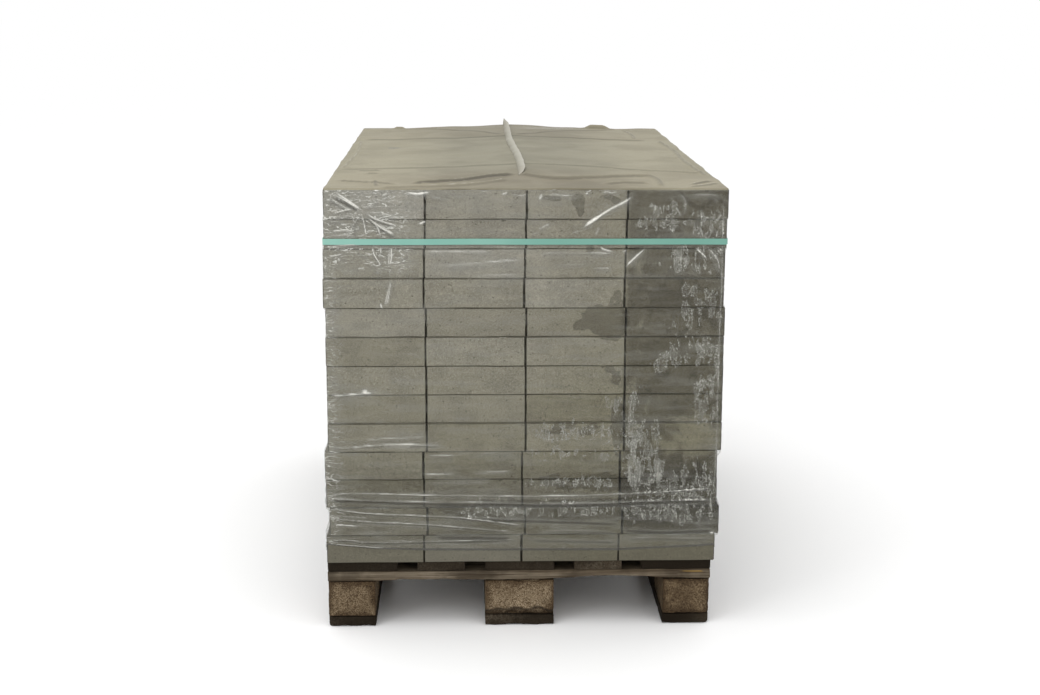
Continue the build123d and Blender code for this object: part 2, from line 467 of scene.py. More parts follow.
paver_layers = sorted(n for n in frame["nodes"] if n.startswith("paver_layer_"))
layer_boxes = [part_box(n) for n in paver_layers]
load_bottom, load_top = layer_boxes[0][0].z, layer_boxes[-1][1].z
layer_size = layer_boxes[0][1] - layer_boxes[0][0]
pavers_across, pavers_deep, paver_joint = 4, 12, 1.5 * MM
paver_size = (
    (layer_size.x + paver_joint) / pavers_across - paver_joint,
    (layer_size.y + paver_joint) / pavers_deep - paver_joint,
    layer_size.z,
)


def soaked(tree, place):
    """Where water has soaked in: the front right stack is damp, with darker rounded patches on it."""
    sideways, depth, height = add(tree, "ShaderNodeSeparateXYZ", {"Vector": place}).node.outputs
    patch_size, front_face, reach_in = 48 * MM, -0.61, 1 / 6
    edges = {"Vector": place, "Scale": 1 / patch_size, "Detail": 5, "Roughness": 0.55, "Distortion": 1.2}
    reach = add(tree, "ShaderNodeTexNoise", edges)
    corner = add(tree, "ShaderNodeMath", {0: height, 1: sideways}, operation="ADD")
    soft = {"interpolation_type": "SMOOTHSTEP"}
    # Wetter to the right and by the top right corner, and drier towards the back
    for value, low, high, most in (
        (sideways, 0.19, 0.3, 0.16),
        (corner, 0.99, 1.05, 0.06),
        (depth, -0.6, -0.2, -0.6),
    ):
        fade = {"Value": value, "From Min": low, "From Max": high, "To Max": most}
        share = add(tree, "ShaderNodeMapRange", fade, **soft)
        reach = add(tree, "ShaderNodeMath", {0: reach, 1: share}, operation="ADD")
    # Patches on the front: middle and half size across and up in mm, and how much wetter or drier
    for x, z, wide, tall, most in (
        (168, 646, 46, 34, 0.45), (144, 676, 26, 20, 0.4), (182, 694, 14, 26, 0.4),
        (112, 648, 16, 12, 0.4), (172, 556, 10, 9, 0.33), (184, 538, 10, 14, 0.31),
        (192, 440, 14, 70, 0.36), (103, 902, 13, 12, 0.33), (108, 885, 8, 15, 0.33),
        (36, 908, 13, 6, 0.33), (60, 905, 16, 6, 0.31), (158, 908, 18, 7, 0.33),
        (180, 901, 13, 8, 0.31), (128, 806, 11, 18, 0.36), (110, 428, 90, 18, 0.3),
        (100, 256, 330, 26, 0.5), (210, 316, 210, 24, 0.45), (345, 415, 70, 46, -0.32),
        (255, 700, 60, 30, 0.25), (330, 684, 60, 20, 0.25),
    ):
        middle = {0: place, 1: (x * MM, front_face, z * MM)}
        away = add(tree, "ShaderNodeVectorMath", middle, operation="SUBTRACT")
        shares = {0: away, 1: (1 / (wide * MM), 1 / reach_in, 1 / (tall * MM))}
        away = add(tree, "ShaderNodeVectorMath", shares, operation="MULTIPLY")
        away = add(tree, "ShaderNodeVectorMath", {0: away}, operation="LENGTH").node.outputs["Value"]
        inside = add(tree, "ShaderNodeMapRange", {0: away, 1: 1.5, 2: 0.4, 3: 0, 4: most}, **soft)
        reach = add(tree, "ShaderNodeMath", {0: reach, 1: inside}, operation="ADD")
    ragged = add(tree, "ShaderNodeMath", {0: reach, 1: -0.3, 2: depth}, operation="MULTIPLY_ADD")
    # The right-hand stack is damp near its front, patches add to it, and the lowest layer has drained
    share = 1
    for value, low, high, least, most, how in (
        (sideways, 0.19, 0.212, 0, 0.7, None),
        (reach, 0.24, 0.6, 0, 1, "MULTIPLY"),
        (ragged, -0.7, -0.4, 1, 0, "MULTIPLY"),
        (reach, 0.73, 0.8, 0, 0.55, "ADD"),
        (height, 0.19, 0.225, 0.15, 1, "MULTIPLY"),
    ):
        fade = add(tree, "ShaderNodeMapRange", {0: value, 1: low, 2: high, 3: least, 4: most}, **soft)
        if how:
            fade = add(tree, "ShaderNodeMath", {0: share, 1: fade}, operation=how, use_clamp=how == "ADD")
        share = fade
    return share


def pressed_concrete():
    """Fine grit and pores over a lightly blotched grey, paler by worn edges; wet patches are darker.
    Painted shade darkens it downwards and, with damp, to the right.
    """
    material, tree, place = finish_start("concrete, pressed and weathered")
    grit_size, speck_size, blotch_size, pore_size = 2.2 * MM, 4.5 * MM, 55 * MM, 13 * MM
    smear_size, relief_depth, worn_edge = (90 * MM, 90 * MM, 12 * MM), 1.0 * MM, 5 * MM
    grit = add(tree, "ShaderNodeTexNoise", {"Vector": place, "Scale": 1 / grit_size, "Detail": 2})
    dots = {"Vector": place, "Scale": 1 / speck_size, "Detail": 4, "Roughness": 0.7}
    specks = add(tree, "ShaderNodeTexNoise", dots)
    blotches = add(tree, "ShaderNodeTexNoise", {"Vector": place, "Scale": 1 / blotch_size, "Detail": 5})
    pores = add(tree, "ShaderNodeTexVoronoi", {"Vector": place, "Scale": 1 / pore_size})
    smear = add(tree, "ShaderNodeMapping", {"Vector": place, "Scale": [1 / size for size in smear_size]})
    smears = add(tree, "ShaderNodeTexNoise", {"Vector": smear, "Scale": 1, "Detail": 4})
    tone, joint = [
        add(tree, "ShaderNodeAttribute", attribute_name=mark).node.outputs["Fac"]
        for mark in ("paver_tone", "joint")
    ]
    sideways, _, height = add(tree, "ShaderNodeSeparateXYZ", {"Vector": place}).node.outputs
    above = add(tree, "ShaderNodeMath", {0: height, 1: load_bottom}, operation="SUBTRACT")
    in_layer = add(tree, "ShaderNodeMath", {0: above, 1: layer_size.z / 2}, operation="PINGPONG")
    wet = soaked(tree, place)
    grey = tinted(tree, hex_colour("86837a"), [
        (blotches, 0.34, 0.66, 0.8, "949186"),
        (smears, 0.5, 0.72, 0.5, "9d9a8f"),
        (specks, 0.46, 0.68, 0.5, "69665d"),
        (grit, 0.52, 0.7, 0.5, "b8b5aa"),
        (pores, 0.18, 0.06, 0.6, "45423a"),
        (in_layer, worn_edge, 0.1 * worn_edge, 0.2, "9a978c"),
        (height, 0.21, 0.19, 0.25, "b0aeaa"),
    ])
    # Multiplied in: a tone for each paver, painted shade towards the bottom, damp with painted shade to the
    # right, the wet patches, and dirt with painted shade in the joints
    grey = tinted(tree, grey, [
        (tone, 0, 1, 1, "eeede8"),
        (height, 0.95, 0.4, 1, "dad9cf"),
        (height, 0.4, 0.3, 0.7, "c0bebb"),
        (sideways, -0.05, 0.18, 1, "f1f0ea"),
        (wet, 0, 1, 1, "938f85"),
        (joint, 0, 1, 1, "635f54"),
    ], "MULTIPLY")
    roughness = add(tree, "ShaderNodeMapRange", {"Value": wet, "To Min": 0.9, "To Max": 0.55})
    relief = add(tree, "ShaderNodeMath", {0: specks, 1: pores}, operation="ADD")
    bump = add(tree, "ShaderNodeBump", {"Height": relief, "Strength": 0.5, "Distance": relief_depth})
    gloss = add(tree, "ShaderNodeMapRange", {"Value": wet, "To Min": 0.25, "To Max": 0.4})
    look = {"Base Color": grey, "Roughness": roughness, "Specular IOR Level": gloss, "Normal": bump}
    finish_end(tree, look)
    return material


def paver_mesh(name, material, bevel, chip, seed):
    """One paver about the origin: flat faces whose edges are cut back unevenly, and chipped in places."""
    # How much dirt and painted shade darken the joints on its corners, upright edges, level edges and chips
    corner_dirt_and_shade, upright_dirt_and_shade, level_dirt_and_shade, chip_dirt_and_shade = 0.8, 0.9, 0.6, 0.2
    chip_chance, narrowest, widest = 0.35, 3, 9
    random = np.random.default_rng(seed)
    half = np.array(paver_size) / 2
    points, faces, dirt_and_shade, corner, border = [], [], [], {}, {}
    for signs in itertools.product((-1, 1), repeat=3):
        for axis in range(3):
            corner[signs, axis] = len(points)
            points.append([s * (half[i] - (0 if i == axis else bevel)) for i, s in enumerate(signs)])
        faces.append([corner[signs, axis] for axis in range(3)])
        dirt_and_shade.append(corner_dirt_and_shade)
    for run in range(3):
        a, b = (run + 1) % 3, (run + 2) % 3
        for sign_a, sign_b in itertools.product((-1, 1), repeat=2):
            stops = []
            if chip:
                shares = np.array([-0.55, 0, 0.55]) + random.uniform(-0.15, 0.15, 3)
                stops = [(s * half[run], bevel * random.uniform(0.5, 1.4)) for s in shares]
                if random.random() < chip_chance:
                    middle = random.uniform(-0.8, 0.8) * half[run]
                    width = random.uniform(narrowest, widest) * MM
                    stops = [s for s in stops if abs(s[0] - middle) > width]
                    stops += [(middle - width, bevel), (middle + width, bevel)]
                    stops.append((middle, bevel + chip * random.uniform(0.25, 1)))
            rows = {}
            for face, other, sign, across in ((a, b, sign_a, sign_b), (b, a, sign_b, sign_a)):
                ends = []
                for end in (-1, 1):
                    signs = [0, 0, 0]
                    signs[run], signs[face], signs[other] = end, sign, across
                    ends.append(corner[tuple(signs), face])
                row = []
                for place, cut in sorted(stops):
                    at = [0, 0, 0]
                    at[run], at[face], at[other] = place, sign * half[face], across * (half[other] - cut)
                    row.append(len(points))
                    points.append(at)
                rows[face] = [ends[0], *row, ends[1]]
                border[face, sign, other, across] = rows[face]
            cuts = [bevel, *[cut for _, cut in sorted(stops)], bevel]
            for i in range(len(stops) + 1):
                faces.append([rows[a][i], rows[a][i + 1], rows[b][i + 1], rows[b][i]])
                chipped = max(cuts[i : i + 2]) > 1.5 * bevel
                dirt_and_shade.append(chip_dirt_and_shade if chipped else upright_dirt_and_shade if run == 2 else level_dirt_and_shade)
    for face in range(3):
        b, c = (face + 1) % 3, (face + 2) % 3
        for sign in (-1, 1):
            loop = border[face, sign, b, -1][:-1] + border[face, sign, c, 1][:-1]
            faces.append(loop + border[face, sign, b, 1][:0:-1] + border[face, sign, c, -1][:0:-1])
            dirt_and_shade.append(0)
    paver = mesh_piece(name, points, faces, material)
    give(paver, "joint", dirt_and_shade, "FACE")
    shell = bmesh.new()
    shell.from_mesh(paver.data)
    bmesh.ops.recalc_face_normals(shell, faces=shell.faces)
    shell.to_mesh(paver.data)
    shell.free()
    return paver


concrete = pressed_concrete()
outer_kinds, paver_bevel, paver_chip, looseness = 4, 1.6 * MM, 5 * MM, 0.35 * MM
paver_kinds = bpy.data.collections.new("paver kinds")
bpy.context.scene.collection.children.link(paver_kinds)
for kind in range(outer_kinds + 1):
    chip = paver_chip if kind < outer_kinds else 0
    made = paver_mesh(f"paver_{kind}", concrete, paver_bevel, chip, 40 + kind)
    bpy.context.scene.collection.objects.unlink(made)
    paver_kinds.objects.link(made)


def layer_tree():
    """Lays pavers in rows: chipped ones around the edge and where the top shows, plain ones inside."""
    tree, given = tree_start("paver layer", {
        "Int": ("Pavers across", "Pavers deep", "Outer kinds", "Seed"),
        "Float": ("Pitch across", "Pitch deep", "Looseness"),
        "Vector": ("Middle",),
        "Bool": ("Top shows",),
        "Collection": ("Kinds",),
        "Material": ("Material",),
    })
    spot = add(tree, "ShaderNodeSeparateXYZ", {0: add(tree, "GeometryNodeInputPosition")}).node.outputs
    spans, shows = [], given["Top shows"]
    for way, count, pitch in ((0, "Pavers across", "Pitch across"), (1, "Pavers deep", "Pitch deep")):
        gaps = add(tree, "ShaderNodeMath", {0: given[count], 1: 1}, operation="SUBTRACT")
        spans.append(add(tree, "ShaderNodeMath", {0: gaps, 1: given[pitch]}, operation="MULTIPLY"))
        away = add(tree, "ShaderNodeMath", {0: spot[way]}, operation="ABSOLUTE")
        inside = add(tree, "ShaderNodeMath", {0: gaps, 1: 1}, operation="SUBTRACT")
        limit = add(tree, "ShaderNodeMath", {0: inside, 1: given[pitch]}, operation="MULTIPLY")
        limit = add(tree, "ShaderNodeMath", {0: limit, 1: 0.5}, operation="MULTIPLY")
        by_edge = add(tree, "ShaderNodeMath", {0: away, 1: limit}, operation="GREATER_THAN")
        shows = add(tree, "ShaderNodeMath", {0: shows, 1: by_edge}, operation="MAXIMUM")
    rows = {"Vertices X": given["Pavers across"], "Vertices Y": given["Pavers deep"]}
    grid = add(tree, "GeometryNodeMeshGrid", {"Size X": spans[0], "Size Y": spans[1], **rows})
    seeds = [add(tree, "ShaderNodeMath", {0: given["Seed"], 1: i}, operation="ADD") for i in range(4)]
    last = add(tree, "ShaderNodeMath", {0: given["Outer kinds"], 1: 1}, operation="SUBTRACT")
    pick = add(tree, "FunctionNodeRandomValue", {"Min": 0, "Max": last, "Seed": seeds[0]}, data_type="INT")
    choice = {"Switch": shows, "False": given["Outer kinds"], "True": pick}
    kind = add(tree, "GeometryNodeSwitch", choice, input_type="INT")
    # Inner pavers lie twice as loose, so no joint runs straight through the load
    room = add(tree, "ShaderNodeMath", {0: 2, 1: shows}, operation="SUBTRACT")
    loose = add(tree, "ShaderNodeMath", {0: given["Looseness"], 1: room}, operation="MULTIPLY")
    most = add(tree, "ShaderNodeCombineXYZ", {"X": loose, "Y": loose})
    least = add(tree, "ShaderNodeVectorMath", {0: most, 1: (-1, -1, -1)}, operation="MULTIPLY")
    push = {"Min": least, "Max": most, "Seed": seeds[1]}
    stray = add(tree, "FunctionNodeRandomValue", push, data_type="FLOAT_VECTOR")
    offset = add(tree, "ShaderNodeVectorMath", {0: stray, 1: given["Middle"]}, operation="ADD")
    moved = add(tree, "GeometryNodeSetPosition", {"Geometry": grid, "Offset": offset})
    turns = add(tree, "FunctionNodeRandomValue", {"Min": 0, "Max": 1, "Seed": seeds[2]}, data_type="INT")
    angle = add(tree, "ShaderNodeMath", {0: turns, 1: math.pi}, operation="MULTIPLY")
    spin = add(tree, "ShaderNodeCombineXYZ", {"Z": angle})
    turned = add(tree, "FunctionNodeEulerToRotation", {0: spin})
    stock = {"Collection": given["Kinds"], "Separate Children": True, "Reset Children": True}
    kinds = add(tree, "GeometryNodeCollectionInfo", stock)
    choice = {"Instance": kinds, "Pick Instance": True, "Instance Index": kind}
    pavers = add(tree, "GeometryNodeInstanceOnPoints", {"Points": moved, "Rotation": turned, **choice})
    shades = {"Min": 0.0, "Max": 1.0, "Seed": seeds[3]}
    tone = add(tree, "FunctionNodeRandomValue", shades, data_type="FLOAT")
    mark = {"Geometry": pavers, "Name": "paver_tone", "Value": tone}
    marked = add(tree, "GeometryNodeStoreNamedAttribute", mark, data_type="FLOAT", domain="INSTANCE")
    tree_end(tree, marked, given["Material"])
    return tree


paver_tree = layer_tree()
for number, (node, (low, high)) in enumerate(zip(paver_layers, layer_boxes)):
    layer = made_by(f"pavers_{node[-2:]}", paver_tree, {
        "Pavers across": pavers_across,
        "Pavers deep": pavers_deep,
        "Outer kinds": outer_kinds,
        "Seed": 5 * number,
        "Pitch across": paver_size[0] + paver_joint,
        "Pitch deep": paver_size[1] + paver_joint,
        "Looseness": looseness,
        "Middle": (low + high) / 2,
        "Top shows": node == paver_layers[-1],
        "Kinds": paver_kinds,
        "Material": concrete,
    })
    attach(layer, "root")
    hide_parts(node)
for made in list(paver_kinds.objects):
    bpy.data.objects.remove(made)
bpy.data.collections.remove(paver_kinds)

# Film hood: a bag of clear polyethylene, shrunk over the load so that it clings to every layer.
# Slack that the heat left stands in folds at the corners, by the strap and along the hem.
# Its top carries dust, and inside its front right it is fogged with drops and trickles.

film_gap, film_radius, level_step, hem_room = 0.9 * MM, 5 * MM, 1 * MM, 12 * MM
ridge_height, ridge_half_width, hip_length = 12 * MM, 0.3, 0.23
hem_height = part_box("film_hood")[0].z
film_top = load_top + film_gap
strap_low, strap_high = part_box("strap")
strap_height = (strap_low.z + strap_high.z) / 2
levels = np.arange(hem_height - hem_room, film_top + level_step, level_step)


def cling(extents):
    """How far out the film lies at each level, over layers that reach out by these extents."""
    blend_share, overlap, nothing = 0.55, 4 * MM, -9
    lows, highs = [np.array([box[end].z for box in layer_boxes]) for end in (0, 1)]
    reach = np.array(extents)
    away = (levels[:, None] - (lows + highs) / 2) / (blend_share * layer_size.z)
    weight = np.exp(-(away**4))
    eased = (weight * reach).sum(1) / weight.sum(1)
    beside = (levels[:, None] > lows - overlap) & (levels[:, None] < highs + overlap)
    return np.maximum(eased, np.where(beside, reach, nothing).max(1)) + film_gap


# To the left, right, front and back
clings = [
    cling([sign * box[end][axis] for box in layer_boxes])
    for axis, end, sign in ((0, 0, -1), (0, 1, 1), (1, 0, -1), (1, 1, 1))
]
half_width, film_front, half_depth = [out[-1] for out in clings[1:]]


def film_reach(height):
    """How far out the film lies at a height, to the left, right, front and back."""
    return [np.interp(height, levels, out) for out in clings]


def tent(x, y):
    """How far the top stands off the load: a low ridge along the seam, flat at the front edge."""
    side = np.clip(1 - np.abs(x) / ridge_half_width, 0, 1)
    hip = np.clip((y + film_front) / hip_length, 0, 1)
    return ridge_height * side**1.3 * hip


def on_load(flat):
    """Film points, their inner core and panel places, from shares across and deep and a height.
    The panels are the front, right, back, left and top, from 0 to 4."""
    u, v, height = flat.T
    panel, edge = np.full(len(flat), 4), 0.99999
    for number, at in ((3, u < -edge), (1, u > edge), (2, v > edge), (0, v < -edge)):
        panel[at] = number
    front_x = np.array([-402, -318, -210, -134, 0, 140, 200, 273, 370, 402]) * MM
    front_hem = np.array([185, 176, 171, 170, 169, 168, 168, 171, 175, 178]) * MM
    hem_sway, sway_size, hem_blend = 4 * MM, 120 * MM, 60 * MM
    around = np.stack([u * half_width, v * half_depth, 0 * u], 1)
    hem = hem_height + hem_sway * noise_at(around, sway_size, 33)
    hem = np.where(panel == 0, np.interp(u * half_width, front_x, front_hem), hem)
    share = np.clip(1 - (height - hem_height) / hem_blend, 0, 1)
    z = height + share * (hem - hem_height)
    left, right, front, back = film_reach(z)
    x = right * (1 + u) / 2 - left * (1 - u) / 2
    y = back * (1 + v) / 2 - front * (1 - v) / 2
    eaves = film_top + tent(x, y)
    rise = np.clip((z - hem_height) / (film_top - hem_height), 0, 1)
    z = np.where(panel == 4, eaves, z + rise**6 * tent(x, y))
    left, right, front, back = film_reach(z)
    core = np.stack([
        np.clip(x, film_radius - left, right - film_radius),
        np.clip(y, film_radius - front, back - film_radius),
        np.minimum(z, eaves - film_radius),
    ], 1)
    along = np.choose(panel, [x, y, -x, -y, x])
    return np.stack([x, y, z], 1), core, panel, along, np.where(panel == 4, y, z)


def along_fold(a, b, path):
    """How far each panel place is from a fold's path, and how the fold thins out there towards its ends."""
    far, end_share, end_length, least = 9.0, 0.25, 22 * MM, 0.1
    path = np.array(path, float) * MM
    # Its corners are cut twice, which rounds them
    for _ in range(2):
        cut = [path[:-1] * 0.75 + path[1:] * 0.25, path[:-1] * 0.25 + path[1:] * 0.75]
        path = np.concatenate([path[:1], np.stack(cut, 1).reshape(-1, 2), path[-1:]])
    steps = np.linalg.norm(np.diff(path, axis=0), axis=1)
    nearest, from_end, done = np.full(a.shape, far), np.zeros(a.shape), 0.0
    for start, end, length in zip(path, path[1:], steps):
        way = (end - start) / length
        run = np.clip((a - start[0]) * way[0] + (b - start[1]) * way[1], 0, length)
        away = np.hypot(a - start[0] - run * way[0], b - start[1] - run * way[1])
        closer = away < nearest
        nearest = np.where(closer, away, nearest)
        run += done
        from_end = np.where(closer, np.minimum(run, steps.sum() - run), from_end)
        done += length
    taper = np.clip(from_end / min(end_share * steps.sum(), end_length), least, 1)
    return nearest, taper


def beside_fold(panel, a, b, fold, margin):
    """The points of a fold's panel that are no further from it than a margin, roughly."""
    path = np.array(fold[1], float) * MM
    low, high = path.min(0) - margin, path.max(0) + margin
    inside = (a > low[0]) & (a < high[0]) & (b > low[1]) & (b < high[1])
    return np.flatnonzero((panel == fold[0]) & inside)


# Folds by panel, as paths in mm across from the panel's middle and up from the floor, or on the top
# back from its middle, each with its width and height in mm, how bright the painted highlight on its
# crest is and how dark the painted shade under it is
folds = [(0, path, *form) for path, *form in [
    # Pulled from the top left corner to a knot, and fanning out from it
    ([(-380, 921), (-355, 905), (-338, 893), (-322, 882)], 4, 4, 0.7, 0.6),
    ([(-384, 914), (-367, 908), (-341, 893), (-320, 879)], 4.5, 4, 0.6, 0.7),
    ([(-392, 910), (-373, 898), (-355, 886), (-335, 876)], 4, 3, 0.4, 0.5),
    ([(-321, 880), (-300, 866), (-277, 857), (-251, 850)], 3.2, 3, 0.75, 0.5),
    ([(-317, 871), (-295, 854), (-277, 841), (-263, 835)], 3.5, 4, 0.8, 0.6),
    ([(-325, 877), (-321, 861), (-318, 845), (-316, 829)], 2.8, 3, 0.75, 0.4),
    ([(-307, 864), (-294, 850), (-290, 838), (-289, 828)], 3, 3, 0.75, 0.5),
    ([(-300, 861), (-281, 847), (-263, 832), (-252, 829)], 5, 3, 0.5, 0.5),
    ([(-274, 842), (-264, 835)], 4, 3, 1, 0),
    ([(-322, 884), (-306, 893), (-290, 899)], 4, 2, 0.3, 0.2),
    ([(-322, 880), (-335, 862), (-345, 846), (-350, 828)], 4, 3, 0.35, 0.4),
    ([(-322, 878), (-300, 876), (-276, 873), (-250, 868)], 5, 2, 0.3, 0.3),
    # Pulled in from the left edge
    ([(-396, 892), (-386, 891)], 3, 2, 0.7, 0),
    ([(-384, 875), (-367, 880), (-355, 883), (-339, 887)], 3, 3, 0.75, 0.4),
    ([(-394, 866), (-364, 870), (-337, 873)], 3, 2, 0.4, 0.4),
    ([(-346, 875), (-339, 866), (-341, 856)], 2.6, 2, 0.35, 0.2),
    ([(-394, 838), (-375, 841), (-355, 843), (-338, 840)], 2.8, 3, 0.7, 0.3),
    ([(-397, 831), (-369, 832), (-332, 831)], 2.4, 2, 0.65, 0.3),
    ([(-398, 858), (-372, 860), (-350, 855)], 3, 2, 0.3, 0.3),
    ([(-337, 852), (-329, 848), (-332, 843)], 2.5, 2, 0.4, 0.2),
    ([(-213, 853), (-197, 861)], 3.5, 3, 1, 0),
    # Up the two front corners
    ([(394, 905), (395, 760), (393, 600), (395, 420), (392, 300)], 3.5, 1.5, 0.35, 0),
    ([(-397, 860), (-396, 720), (-398, 600)], 4, 1.5, 0.2, 0),
    # Along the top edge
    ([(-397, 920), (-388, 919)], 3, 2, 0.68, 0),
    ([(-297, 921), (-288, 920)], 3.5, 2, 0.95, 0),
    ([(-285, 911), (-271, 916)], 3, 2, 0.64, 0.2),
    ([(-285, 903), (-271, 909)], 3, 2, 0.64, 0.2),
    ([(-240, 918), (-212, 914), (-200, 917), (-186, 918)], 4, 2, 0.9, 0.2),
    ([(-235, 901), (-233, 893)], 3, 2, 0.3, 0),
    ([(-219, 898), (-217, 892)], 3, 2, 0.3, 0),
    ([(-180, 917), (-120, 915), (-60, 916)], 3, 2, 0.22, 0.2),
    ([(-49, 913), (-35, 918)], 3.5, 2, 0.64, 0),
    ([(-18, 911), (4, 913)], 3.5, 2, 0.52, 0.2),
    ([(29, 916), (31, 909), (25, 904)], 4, 3, 0.95, 0.2),
    ([(38, 911), (57, 915), (73, 911), (97, 912)], 3, 2, 0.56, 0.3),
    ([(118, 914), (124, 917)], 3.5, 2, 0.68, 0),
    ([(158, 916), (184, 919)], 3, 2, 0.56, 0.2),
    # Bright pull in the third column and lighter ones around it
    ([(110, 844), (128, 856), (148, 872), (172, 887), (197, 899), (217, 914)], 4, 5, 1, 0.3),
    ([(118, 851), (132, 862), (150, 873)], 5, 3, 1, 0),
    ([(147, 850), (139, 829)], 3.5, 2, 0.42, 0),
    ([(24, 842), (38, 849), (51, 857)], 4, 2, 0.47, 0.2),
    ([(12, 830), (28, 838)], 4, 2, 0.26, 0),
    ([(93, 836), (108, 840)], 3, 2, 0.47, 0),
    # Below the strap
    ([(-398, 805), (-380, 810), (-355, 812), (-322, 813)], 3.6, 4, 1, 0.3),
    ([(-395, 789), (-380, 791), (-362, 794)], 3, 3, 0.7, 0.2),
    ([(-304, 811), (-303, 798), (-298, 787), (-291, 777), (-288, 767)], 2.4, 3, 0.7, 0.4),
    ([(-288, 811), (-287, 797), (-294, 785)], 2.2, 3, 0.5, 0.3),
    ([(-308, 778), (-294, 768), (-284, 781)], 2.4, 2.5, 0.6, 0.3),
    ([(-335, 799), (-320, 790), (-309, 783)], 3, 2, 0.3, 0.3),
    ([(-268, 811), (-266, 794), (-269, 769)], 4, 3, 0.6, 0.4),
    ([(-272, 800), (-271, 785), (-273, 770)], 4, 3, 0.45, 0.3),
    ([(-244, 811), (-242, 800), (-232, 800), (-231, 811)], 2.4, 2, 0.25, 0.2),
    ([(-268, 746), (-270, 729), (-272, 711), (-278, 685)], 4, 4, 0.55, 0.3),
    ([(-272, 736), (-275, 712), (-282, 687)], 4, 3, 0.5, 0.2),
    ([(-289, 695), (-287, 684)], 3.5, 3, 0.8, 0),
    ([(-292, 765), (-298, 754)], 2.5, 2, 0.26, 0),
    ([(-292, 762), (-285, 749)], 2.5, 2, 0.26, 0),
    ([(-120, 817), (-75, 811), (-40, 808), (-5, 804), (30, 802)], 3, 2, 0.36, 0.1),
    ([(20, 798), (26, 794), (64, 797), (130, 796), (180, 794)], 3.5, 2, 0.55, 0.3),
    ([(-205, 797), (-150, 799), (-60, 797)], 6, 2, 0.45, 0.2),
    ([(-205, 770), (-110, 773), (-60, 778), (5, 782)], 6, 2, 0.45, 0.2),
    ([(-110, 747), (-75, 750), (0, 752)], 5, 2, 0.4, 0.1),
    ([(149, 812), (152, 804), (164, 801), (176, 797)], 3.6, 3, 0.85, 0.3),
    ([(194, 797), (203, 802)], 3.5, 2, 0.49, 0),
    ([(242, 806), (224, 792), (218, 785), (206, 774), (200, 764)], 3, 3, 0.85, 0.3),
    ([(134, 764), (176, 764)], 3.6, 2, 0.5, 0.2),
    ([(302, 917), (316, 905), (318, 890), (314, 871)], 3.5, 2, 0.33, 0.2),
    ([(324, 911), (354, 914), (381, 911), (398, 909)], 4, 2, 0.33, 0.3),
    ([(300, 889), (304, 879), (310, 868)], 4, 2, 0.39, 0.1),
    ([(363, 805), (378, 792), (388, 778), (389, 754)], 2.6, 2, 0.65, 0.2),
    ([(338, 808), (366, 782)], 2.5, 2, 0.5, 0.1),
    # Single folds from the left side
    ([(-397, 503), (-350, 506), (-294, 512)], 3, 4, 0.8, 0.4),
    ([(-399, 396), (-355, 395), (-310, 400), (-264, 402), (-201, 400), (-160, 399)], 3.2, 5, 0.75, 0.5),
    ([(-330, 410), (-280, 414), (-190, 416)], 4, 3, 0.4, 0.3),
    ([(-206, 377), (-138, 376)], 3.5, 3, 0.4, 0.3),
    ([(-104, 379), (-72, 382), (-16, 382)], 4, 3, 0.25, 0.3),
    ([(-85, 367), (-35, 368)], 3, 2, 0.28, 0.2),
    ([(-216, 336), (-134, 338)], 3, 3, 0.6, 0.3),
    ([(-104, 340), (-24, 342)], 3, 3, 0.5, 0.3),
    ([(-204, 317), (-138, 318), (-65, 317)], 3, 2, 0.3, 0.2),
    ([(-112, 301), (-24, 302)], 4.5, 3, 0.25, 0.2),
    # The bundle of long folds above the hem
    ([(-403, 290), (-369, 297), (-300, 295), (-208, 291), (-58, 289), (0, 287), (138, 289), (273, 294),
      (397, 303)], 2.6, 4, 0.6, 0.4),
    ([(-401, 285), (-346, 283), (-208, 276), (-60, 275), (18, 272), (140, 272), (273, 277),
      (392, 278)], 4, 5, 0.4, 1),
    ([(-402, 265), (-369, 260), (-323, 253), (-208, 248), (-130, 244), (-60, 234),
      (0, 224)], 2.6, 4, 0.6, 0.6),
    ([(-130, 246), (-18, 240), (54, 238), (204, 231)], 4.5, 5, 0.3, 0.8),
    ([(-395, 244), (-323, 235), (-208, 230), (-130, 222), (-20, 212)], 2.6, 4, 0.5, 0.6),
    ([(-396, 230), (-365, 228), (-337, 225)], 2.2, 3, 0.6, 0.3),
    ([(-402, 252), (-360, 247), (-310, 243)], 2.2, 3, 0.35, 0.3),
    ([(-340, 212), (-288, 212)], 3, 3, 0.2, 0.3),
    ([(-190, 206), (-148, 205), (-20, 203)], 5, 4, 0.2, 1),
    ([(-401, 195), (-355, 196), (-327, 189), (-208, 191), (-100, 193), (-10, 194)], 2.6, 4, 0.45, 0.8),
    ([(-401, 187), (-346, 182), (-280, 176)], 2.4, 3, 0.5, 0.4),
    ([(200, 218), (290, 212), (398, 216)], 4.5, 4, 0.2, 0.9),
    ([(205, 197), (291, 197), (363, 193), (398, 199)], 4, 4, 0.3, 0.5),
    ([(285, 202), (330, 204)], 3, 3, 0.3, 0.3),
    ([(386, 205), (394, 206)], 4, 3, 0.7, 0),
    ([(5, 196), (80, 193), (200, 190)], 4, 3, 0.2, 0.6),
    ([(30, 213), (100, 215), (196, 210)], 3.5, 3, 0.25, 0.5),
]]
